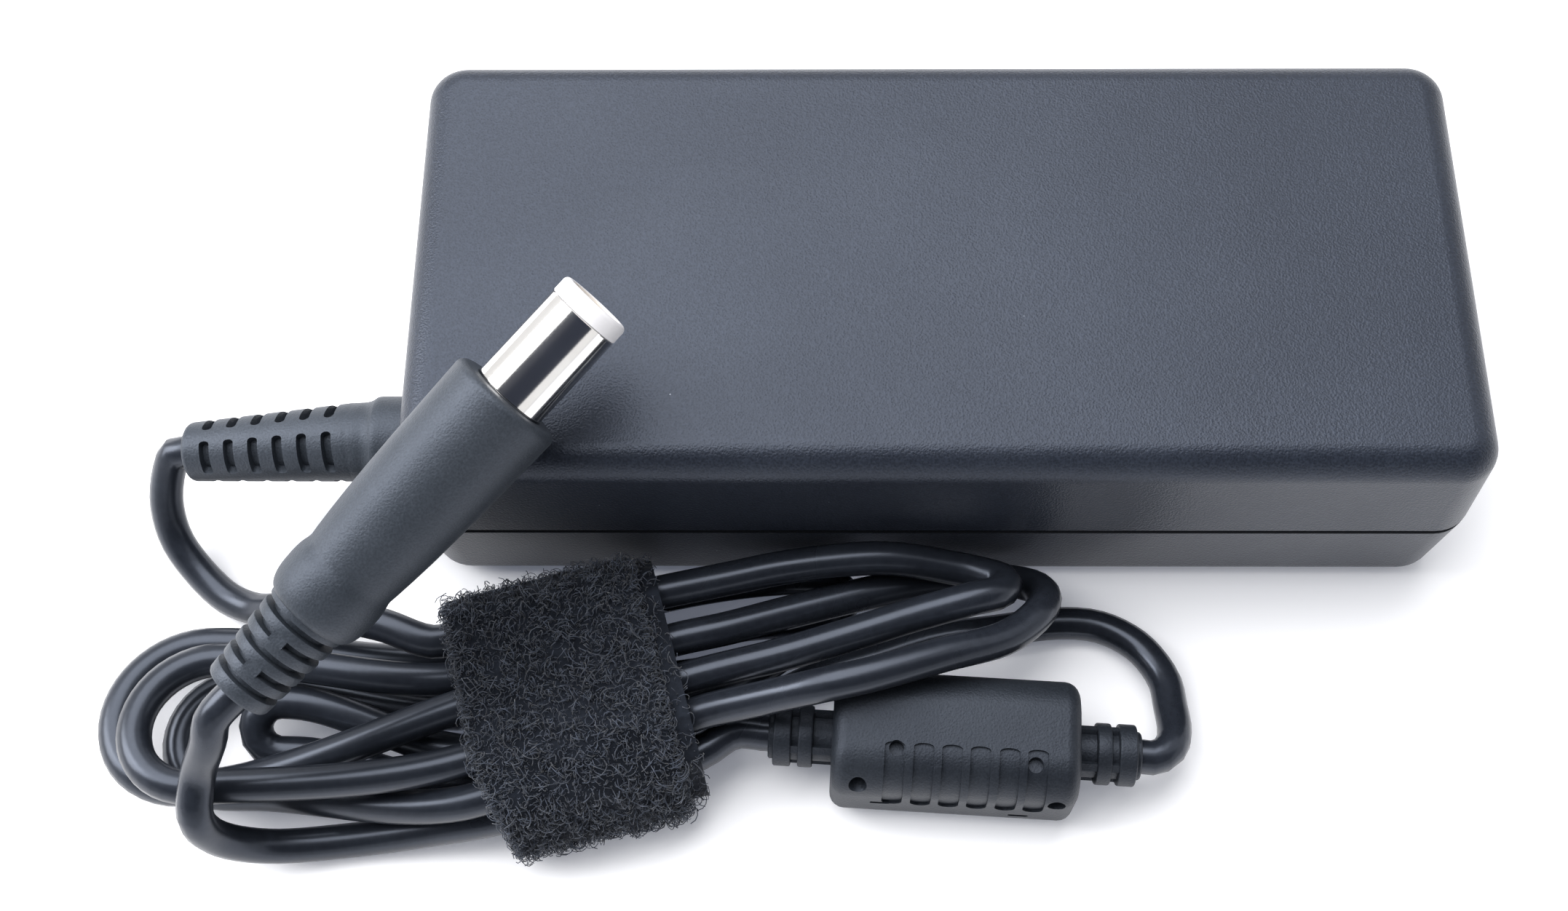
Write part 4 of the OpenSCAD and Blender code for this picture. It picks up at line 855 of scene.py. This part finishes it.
finish_piece(top_cover, "case_top", "case_plastic", "top_cover")
finish_piece(bottom_cover, "case_bottom", "case_plastic", "bottom_cover")

# %% [markdown]
# ## The strain relief at the case
# The relief is moulded onto the cord: a collar against the case, a throat, and a tapered
# sleeve with four rows of slots that let it bend. The sleeve is turned from rings, and
# one slot cutter, a ring sector with rounded ends, is copied to every place.

# %% Turn the collar and the sleeve
collar = turned([
    (5.2, -3.9), (5.2, -2.5), (3.7, -2.5), (3.7, 0.02), (4.5, 0.02),
    *arc((4.4, 0.42), 0.4, -90, 0, 3), (4.8, 3.1), (4.79, 3.5),
    *arc((6.6, 5.5), 2.45, 220, 182, 6), (4.1, 6.4), (3.9, 6.9),
], 64)
place_mesh(collar, placed(relief_root, -math.pi / 2, "Y"))
sleeve_r = 4.1
sleeve = turned([
    *arc((0, 0), sleeve_r, -84, 0, 8), (sleeve_r, 0.2), (3.13, sleeve_l - 0.5),
    *arc((2.6, sleeve_l - 0.5), 0.5, 0, 90, 4), (2.05, sleeve_l), (1.85, sleeve_l - 0.2),
    (1.85, sleeve_l - 3),
], 64)
print("length of the sleeve:", sleeve_l, "mm")

# %% Cut the slots
slot_pitch, slot_arc, slot_w, first_slot = 2.7, 66, 1.1, 1.2
slots_in_row, slot_rows, slot_turn, slot_depth, floor_r = 6, 4, -40, 1, 2.6
slot_cutter = swept(3, slot_w, floor_r, -slot_arc / 2, slot_arc, 10)


def at_slot_end(edge):
    """Whether an edge of the slot cutter lies at one of its ends."""
    turns_of = [abs(math.degrees(math.atan2(v.co.y, v.co.x))) for v in edge.verts]
    return all(abs(turn - slot_arc / 2) < 0.5 for turn in turns_of)


round_edges(slot_cutter, 0.5, 4, lambda e: at_slot_end(e) and level(e, 2))
cutters = []
for i in range(slots_in_row):
    height = first_slot + slot_w / 2 + i * slot_pitch
    fit = (sleeve_r - height / sleeve_l - slot_depth) / floor_r
    for row in range(slot_rows):
        place = placed((0, 0, height * mm), math.radians(slot_turn + 90 * row))
        cutters.append(copy_of(slot_cutter, place @ Matrix.Diagonal((fit, fit, 1, 1))))
bpy.data.objects.remove(slot_cutter)
combine(sleeve, join(cutters))
place_mesh(sleeve, placed(relief_bend, -math.pi / 2 - relief_droop, "Y"))
combine(collar, sleeve, "UNION")
finish_piece(collar, "case_relief", "overmould_plastic", "strain_relief")

# %% [markdown]
# ## The barrel plug
# The grip is overmoulded on the cord: a tapered handle that ends in a low collar with a
# domed shoulder, and a tail with grooves. It is turned from rings along its own axis,
# and the bridges across every second groove are blocks added to it. The nickel barrel and
# the white ring at its tip are hollow turned pieces that close on themselves.

# %% Turn the grip with its grooved tail
groove_start, groove_w, groove_depth, groove_pitch = 0.6, 0.7, 1, 1.8
tail_top, tail_wide, tail_taper = grip_l + shoulder_l, 4.1, 0.7
tail_end = -tail_top - tail_l


def tail_r(t):
    """Radius of the tail at a distance from the shoulder, in mm."""
    return tail_wide - tail_taper * t / tail_l


def groove_side(t, side):
    """One side of a groove, rounded at its rim; side is 1 for the upper and -1 for the lower."""
    rim, at = tail_r(t), -tail_top - t
    return [
        (rim, at + side * 0.14), (rim - 0.04, at + side * 0.04), (rim - 0.14, at),
        (rim - groove_depth, at - side * 0.02),
    ]


grooves = []
for i in range(5):
    t = groove_start + i * groove_pitch
    grooves += groove_side(t, 1) + groove_side(t + groove_w, -1)[::-1]
quarter = [math.radians(a) for a in range(0, 91, 9)]
shoulder = [(tail_wide + math.cos(a), -tail_top + 2.8 * (1 - math.sin(a))) for a in quarter]
handle = [
    (5.56, -10), (5.44, -13.2), (5.28, -16.4), (5.12, -18.6), (4.93, -20.75), (4.82, -21.7), (4.83, -22),
    (4.94, -22.5), (5.05, -23), (5.11, -23.7), (5.12, -24.2),
]
plug_grip = turned([
    (3.55, -3), (3.55, -0.25), (3.8, 0), *arc((5, -0.8), 0.8, 90, 0, 6), *handle, *shoulder, *grooves,
    (tail_r(9.7), tail_end + 0.3), (tail_r(10) - 0.1, tail_end + 0.08), (tail_r(10) - 0.3, tail_end),
    (2.1, tail_end), (1.85, tail_end + 0.2), (1.85, tail_end + 3),
], 72)
print("rings of the grip's grooves:", len(grooves))

# %% Bridge every second groove
plug_place = placed(plug_at, plug_heading) @ Matrix.Rotation(math.pi / 2 - plug_rise, 4, "Y")
bridge_turn = math.radians(18)
for i in (1, 3):
    t = groove_start + i * groove_pitch + groove_w / 2
    for half in (0, math.pi):
        bridge = block((tail_r(t) - 0.62, 0, -tail_top - t), (1.2, 1.6, groove_w + 0.3))
        place_mesh(bridge, placed(turn=bridge_turn + half))
        combine(plug_grip, bridge, "UNION")
finish_piece(plug_grip, "plug_handle", "overmould_plastic", "plug_grip", plug_place)

# %% Turn the barrel and the ring at its tip
barrel = turned([
    (3.5, -8.5), (3.5, 0.1), (3.62, 0.1), (3.7, 0.18), (3.7, 10.08), (3.64, 10.16), (3.02, 10.16),
    (3.02, -8.5),
], 96, hollow=True)
finish_piece(barrel, "plug_sleeve", "nickel", "plug_barrel", plug_place)
tip_ring = turned([
    (2.95, -8.5), (2.95, 10.2), (3.62, 10.2), (3.7, 10.28), *arc((3.2, 11.5), 0.5, 0, 90, 5),
    (3.0, 12), *arc((3.0, 11.86), 0.14, 90, 180, 3), (2.86, -8.5),
], 96, hollow=True)
finish_piece(tip_ring, "plug_tip_ring", "white_plastic", "plug_insulator", plug_place)

# %% [markdown]
# ## The ferrite
# A ferrite core sits in a moulded block with rounded edges, soft ends and a ribbed boot
# on each side. Six shallow finger marks run from the top over the front edge; each is cut
# by one cutter, a strip swept round that edge with rounded ends. Pits from the mould's
# pins and a fine parting line are cuts too.

# %% Shape the block and the cutter of its finger marks
body_l, body_w, edge_r = 24.5, 12.8, 4.2
half_w = body_w / 2
ferrite_body = block((0, 0, 0), (body_l, body_w, body_w), edge_r, 10, 0)
round_edges(ferrite_body, 1.5, 5, lambda e: level(e, 0))

mark_w, mark_depth, mark_drop, mark_lift = 2, 0.3, 2.1, 0.4
marker = swept(1.6, mark_w, edge_r - mark_depth, 0, 90, 10)
edit(marker)
for axis, move in ((1, (0, -mark_lift, 0)), (0, (-mark_drop, 0, 0))):
    pick(marker, "FACE", lambda f: lies_at(f, axis, 0))
    bpy.ops.mesh.extrude_region_move(TRANSFORM_OT_translate={"value": Vector(move) * mm})
leave_edit()
round_edges(
    marker, 0.94 * mark_w / 2, 7,
    lambda e: level(e, 2) and (lies_at(e, 1, -mark_lift) or lies_at(e, 0, -mark_drop)),
)
outwards(marker)
print("faces of the cutter:", len(marker.data.polygons))

# %% Cut the pits, the parting line and the finger marks
down, to_front = 0, math.pi / 2
for place, radius, turn in (
    ((-5.9, -2.4, half_w), 0.75, down), ((7.7, -3.2, half_w), 0.75, down),
    ((-9.5, -5.9, 4.2), 0.9, to_front), ((10.1, -6.4, 2.7), 0.9, to_front),
):
    pit = turned([(radius, -1.1), (radius, 1.5)], 22)
    place_mesh(pit, placed(Vector(place) * mm, turn, "X"))
    combine(ferrite_body, pit)
for place in ((-7.2, -half_w, 0.2), (6.7, -half_w, -1.6)):
    combine(ferrite_body, block(place, (2, 0.8, 0.6), 0.25, 3, 1))
combine(ferrite_body, block((0, 3.3, half_w), (2 * body_l, 0.14, 0.16)))
edge_at = half_w - edge_r
# The cutter's own axes along the block: its x goes up, its y to the front, its z along
to_edge = Matrix(((0, 0, 1, 0), (0, -1, 0, 0), (1, 0, 0, 0), (0, 0, 0, 1)))
marks = [
    copy_of(marker, placed(Vector((along, -edge_at, edge_at)) * mm) @ to_edge)
    for along in (-6.06, -3.23, -0.46, 2.31, 5.15, 7.9)
]
bpy.data.objects.remove(marker)
combine(ferrite_body, join(marks))
print("finger marks:", len(marks), "each", mark_depth, "mm deep")

# %% Add the boots
def collar_ring(low, high):
    """One of the two rings of a boot, with rounded rims, from low to high in mm."""
    return [
        (2.4, low - 0.02), *arc((2.9, low + 0.2), 0.2, -90, 0, 3), *arc((2.9, high - 0.2), 0.2, 0, 90, 3),
        (2.4, high + 0.02),
    ]


boot_rings = [
    (2.4, -2), *collar_ring(1.9, 3.4), *collar_ring(4.1, 5.9),
    (2.4, 6.25), (2.28, 6.4), (2.0, 6.4), (1.85, 6.25), (1.85, 4.5),
]
for side in (-1, 1):
    boot = turned(boot_rings, 48)
    for middle, length in ((0.9, 2.2), (3.75, 0.9)):
        for quarter in range(4):
            web = block((2.55, 0, middle), (0.7, 0.8, length))
            place_mesh(web, placed(turn=math.radians(45 + 90 * quarter)))
            combine(boot, web, "UNION")
    place_mesh(boot, placed((side * body_l / 2 * mm, 0, 0), side * math.pi / 2, "Y"))
    combine(ferrite_body, boot, "UNION")
ferrite_place = placed(ferrite_at, ferrite_turn)
finish_piece(ferrite_body, "ferrite_block", "overmould_plastic", "ferrite_overmould", ferrite_place)
# The ferrite block takes the darker copy of its plastic: painted shade.
ferrite_body.data.materials[0] = materials["choke_plastic"]

# %% [markdown]
# ## The strap
# A hook-and-loop strap goes round the waist of the hank and sticks to itself. Its band is
# the tight wrap round all the cords: a cylinder stands in for each cord, Convex Hull
# stretches a skin over them, and Solidify makes it a band. The outer layer is that skin
# again, moved out by a layer, cut open, and wrinkled a little. Where the strap was pulled
# round the foot of the bundle it is narrower, so its edge there is drawn in.

# %% Stretch a skin over the cords in the waist
strap_w, strap_t, strap_room, strap_slip = 20, 0.95, 0.3, 2.5
waist_place = placed(waist_at, waist_turn)
slots = out_left + out_right + home_right + home_left + [ferrite_left_slot, ferrite_right_slot]


def skin(start, end, grow):
    """An open tube round the cords in the waist, from start to end along it, in mm."""
    radius = cord_r / mm + strap_room + grow
    hulls = []
    for across, up in slots:
        rod = turned([(radius, start), (radius, end)], 28)
        place_mesh(rod, placed(Vector((0, across, up)) * mm, math.pi / 2, "Y"))
        hulls.append(rod)
    tube = join(hulls)
    edit(tube, True)
    bpy.ops.mesh.convex_hull()
    leave_edit()
    delete_faces(tube, lambda f: abs(f.normal.x) > 0.9)
    outwards(tube)
    return tube


def cut_along(obj, step):
    """Adds rings of edges every step mm along the waist, so that a band can wrinkle."""
    low, high = (f(v.co.x for v in obj.data.vertices) / mm for f in (min, max))
    for i in range(1, round((high - low) / step)):
        edit(obj, True)
        bpy.ops.mesh.bisect(plane_co=((low + i * step) * mm, 0, 0), plane_no=(1, 0, 0))
        leave_edit()


print("cords that the strap holds:", len(slots))

# %% Wrinkle and finish the wound band
wrinkle_size = 5 * mm
foot_start, foot_reach, foot_drawn = -5, 8, 2.4
band_room, layer_room, tab_gap = 0.05, 0.25, 0.3


def wrinkle(obj, depth, seed):
    """Moves the places of a band along their normals by a smooth noise, in mm."""
    offset = Vector((seed, 2 * seed, 3 * seed))
    normals = [v.normal.copy() for v in obj.data.vertices]
    for vertex, normal in zip(obj.data.vertices, normals):
        vertex.co += depth * mm * noise.noise(vertex.co / wrinkle_size + offset) * normal


def draw_in(obj, all_along, at_foot):
    """Draws one edge of a layer in, in mm: by all_along everywhere, and by at_foot more at the foot."""
    low, high = (f(v.co.x for v in obj.data.vertices) for f in (min, max))
    for vertex in obj.data.vertices:
        foot = min(1, max(0, (foot_start - vertex.co.y / mm) / foot_reach)) ** 1.5
        vertex.co.x += (all_along + at_foot * foot) * mm * (high - vertex.co.x) / (high - low)


def finish_layer(obj, drawn, depth, seed, name, body, stands_for):
    """Draws in and wrinkles a layer, by mm, gives it its thickness above the desk and dresses it."""
    cut_along(obj, 1)
    draw_in(obj, drawn, foot_drawn)
    wrinkle(obj, depth, seed)
    apply_modifier(obj, "SOLIDIFY", thickness=strap_t * mm, offset=1, use_even_offset=True)
    for vertex in obj.data.vertices:
        vertex.co.z = max(vertex.co.z, 0)
    finish_piece(obj, name, "hook_and_loop", stands_for, waist_place, body, angle=50)


band = skin(-strap_w / 2, strap_w / 2, band_room)
finish_layer(band, 0, 0.12, 3, "strap_band", "adapter", "strap_wrap")

# %% Cut the outer layer open
outer_end, free_low = 12.2, 3
outer = skin(-strap_w / 2 - strap_slip, strap_w / 2 - strap_slip, strap_t + layer_room)
for point, away in (((0, 0, free_low), (0.1, 0, -1)), ((0, outer_end, 0), (0, 1, 0))):
    edit(outer, True)
    bpy.ops.mesh.bisect(plane_co=Vector(point) * mm, plane_no=away, clear_outer=True)
    leave_edit()
delete_faces(outer, lambda f: f.normal.z < -0.3 and f.calc_center_median().y > 0)
finish_layer(outer, 1.4, 0.2, 5, "strap_outer_layer", None, "strap_tab")

# %% [markdown]
# The outer layer crosses the line where its free end peels off, which lies above one of
# the cords that come home on the right. Here that line is found; the outer layer and its
# pile only have their placing baked into their meshes.

# %% Find the line where the free end peels off
hinge_across, cord_up = home_right[2]
hinge_up = cord_up + cord_r / mm + strap_room + 1.5 * strap_t + tab_gap
hinge = waist_place @ (Vector((0, hinge_across, hinge_up)) * mm)


def blend_strap(obj):
    """Bakes the placing of a piece into its mesh."""
    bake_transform(obj)


blend_strap(outer)
print("the strap peels along a line", round(hinge.z / mm, 2), "mm up")

# %% [markdown]
# The face of such a strap is a pile of fine nylon loops, pulled up and curly. One loop
# is a thin ring sector with three sides, spun like the slot cutter. It is copied
# thousands of times, turned at random, over the faces of the strap that show, and along
# its edges. A loop has only a few dozen faces, so the whole pile stays light. A loop
# that would reach into the desk is left out.

# %% Model one loop
fibre_r = 0.042 * mm


def loop_of_fibre(radius, degrees, steps):
    """The places and faces of one thin loop, with its middle at the origin, in metres."""
    bpy.ops.object.select_all(action="DESELECT")
    bpy.ops.mesh.primitive_circle_add(vertices=3, radius=fibre_r, fill_type="NGON")
    obj = bpy.context.object
    spun(obj, radius, degrees, steps)
    shape = [v.co.copy() for v in obj.data.vertices], [tuple(p.vertices) for p in obj.data.polygons]
    bpy.data.objects.remove(obj)
    return shape


loops = [loop_of_fibre(0.5, 230, 6), loop_of_fibre(0.78, 160, 5), loop_of_fibre(0.4, 300, 7)]
print("faces of a loop:", [len(faces) for _, faces in loops])

# %% Spread the loops over the strap
lean_spread = 0.55
sizes_of_loops, heights_of_loops = (0.65, 1.35), (-0.15, 0.2)


def pile(name, obj, shown, count, lift):
    """Loops on the faces of obj that pass shown, more on larger faces, lifted by lift mm."""
    faces = [f for f in obj.data.polygons if shown(f)]
    weights = [f.area for f in faces]
    places, polygons = [], []
    for face in random.choices(faces, weights, k=count):
        corners = [obj.data.vertices[i].co for i in face.vertices]
        i = random.randrange(2, len(corners))
        a, b = sorted((random.random(), random.random()))
        at = a * corners[0] + (b - a) * corners[i - 1] + (1 - b) * corners[i]
        normal = face.normal.copy()
        lean = Vector([random.gauss(0, lean_spread) for _ in range(3)])
        up = (normal + lean).normalized()
        turn = up.to_track_quat("X", "Z").to_matrix() @ Matrix.Rotation(random.uniform(0, math.tau), 3, "X")
        size = random.uniform(*sizes_of_loops)
        shape, sides = random.choice(loops)
        base = len(places)
        middle = at + (lift + random.uniform(*heights_of_loops)) * mm * normal
        fibre = [middle + turn @ (size * p) for p in shape]
        if min(p.z for p in fibre) < 0:
            continue
        places += fibre
        polygons += [tuple(base + i for i in side) for side in sides]
    mesh = bpy.data.meshes.new(name)
    mesh.from_pydata(places, [], polygons)
    mesh.materials.append(materials["pile_fibre_painted_sheen"])
    mesh.shade_smooth()
    made = add_object(name, mesh)
    print(name, "triangles:", sum(len(p) - 2 for p in polygons))
    return made


bundle_up = 7 * mm


def along_of(face):
    """How far a face lies along the waist, in mm from its middle."""
    return (face.center - waist_at).dot(waist_dir) / mm


def outside_of(face):
    """Whether a face of the strap looks away from the cords."""
    middle = waist_at + Vector((0, 0, bundle_up))
    spoke = face.center - middle
    spoke -= spoke.dot(waist_dir) * waist_dir
    return face.normal.dot(spoke.normalized()) > 0.25


def edge_of(face):
    """Whether a face belongs to the edges of a layer."""
    return abs(face.normal.dot(waist_dir)) > 0.7 or face.area < 0.4 * mm * mm


def bare_band(face):
    """Whether a face of the band looks out and isn't covered by the outer layer."""
    behind = (face.center - hinge).dot(waist_side)
    return outside_of(face) and (along_of(face) > 6.5 or face.center.z < 8 * mm or behind > 10 * mm)


blend_strap(pile("strap_outer_pile", outer, outside_of, count=4900, lift=0.15))
blend_strap(pile("strap_edge_pile", outer, edge_of, count=1500, lift=0.1))
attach(pile("strap_band_pile", band, bare_band, count=2300, lift=0.12), "adapter")

# %% [markdown]
# ## Cords, kept nodes and their finishes
# The cord replaces the three rough tubes of the construction model. The parts inside the
# case, the mains inlet with its pins, and the contacts in the plug keep their
# construction shapes, which are right, and only get better finishes.

cord.data.materials.append(materials["cord_jacket"])
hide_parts("cord_lead", "cord_hank", "cord_plug_lead")
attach(cord, "adapter")

# %% Dress the kept nodes
kept = 0
for row in frame["record"]["subparts"]:
    shown = frame["nodes"][row["node"]]
    if not shown.hide_render:
        shown.data.materials.clear()
        shown.data.materials.append(materials[row["material_slot"]])
        kept += 1
print("kept nodes with new finishes:", kept)

# %% [markdown]
# ## Floor, lights and background
# The adapter lies on a white sheet. A large key lamp above and behind is mirrored by the
# top of the case and draws the long highlights on the cords, and a smaller one on the
# left lights the left flanks. The world and the floor are white to the camera and to
# reflections, and give only a soft part of the light. A plain white room would also make
# the rounded front edge shine, so a dark card hangs above the front, as in a studio: it
# shows only in reflections, casts no shadow, and keeps that edge and the front dark.

# %% Lay the floor
def seen_directly(tree):
    """A mask that is 1 for the camera, in mirrors and through glass, and 0 for soft light."""
    path = node(tree, "LightPath").outputs
    mask = path["Is Camera Ray"]
    for ray in ("Is Glossy Ray", "Is Transmission Ray"):
        mask = node(tree, "Math", {0: mask, 1: path[ray]}, operation="MAXIMUM").outputs[0]
    return mask


bpy.ops.object.select_all(action="DESELECT")
bpy.ops.mesh.primitive_plane_add(size=6)
floor = bpy.context.object
floor.name = "floor"
floor_material, tree, paper = new_material("floor")
seen = seen_directly(tree)
soft, white = (0.65, 0.65, 0.66, 1), (1, 0.995, 1, 1)
dark, glow = (0, 0, 0, 1), (0.09, 0.1, 0.13, 1)
feed(tree, paper, {
    "Roughness": 0.8, "Specular IOR Level": 0.1, "Emission Strength": 1,
    "Base Color": blended(tree, seen, soft, white), "Emission Color": blended(tree, seen, dark, glow),
})
floor.data.materials.append(floor_material)
print("floor:", floor.name)

# %% Light the world
world = bpy.data.worlds.new("studio")
bpy.context.scene.world = world
world.use_nodes = True
tree = world.node_tree
backdrop = tree.nodes["Background"]
strength = node(tree, "MapRange", {0: seen_directly(tree), 3: 0.5, 4: 1.0})
feed(tree, backdrop, {"Strength": strength.outputs[0], "Color": (1, 1, 1, 1)})
print("world:", world.name)

# %% Hang the lamps and the dark card
lamp_aim = Vector((-0.01, 0, 0.01))


def lamp(name, place, size, power):
    """An area lamp, wide and deep as size says, at a place in metres, facing the adapter."""
    data = bpy.data.lights.new(name, "AREA")
    data.shape = "RECTANGLE"
    data.size, data.size_y = size
    data.energy = power
    made = add_object(name, data)
    made.location = place
    made.rotation_mode = "QUATERNION"
    made.rotation_quaternion = (Vector(place) - lamp_aim).to_track_quat("Z", "Y")


lamp("key", (-0.27, 0.28, 0.88), (1.2, 0.9), 15.5)
lamp("left", (-0.8, 0.12, 0.5), (0.5, 0.5), 7)
card_place, card_size = (0, -900, 800), (3000, 1600, 2)
card = block(card_place, card_size)
card.name = "dark_card"
card_material, tree, cloth = new_material("dark_card")
# The card's faint blue glow is a painted bluish reflection on the front and edge of the case.
feed(tree, cloth, {
    "Base Color": dark, "Specular IOR Level": 0, "Emission Color": (0.04, 0.046, 0.065, 1),
    "Emission Strength": 1,
})
card.data.materials.append(card_material)
card.visible_camera = card.visible_diffuse = card.visible_shadow = False
bpy.context.scene.view_settings.view_transform = "Standard"
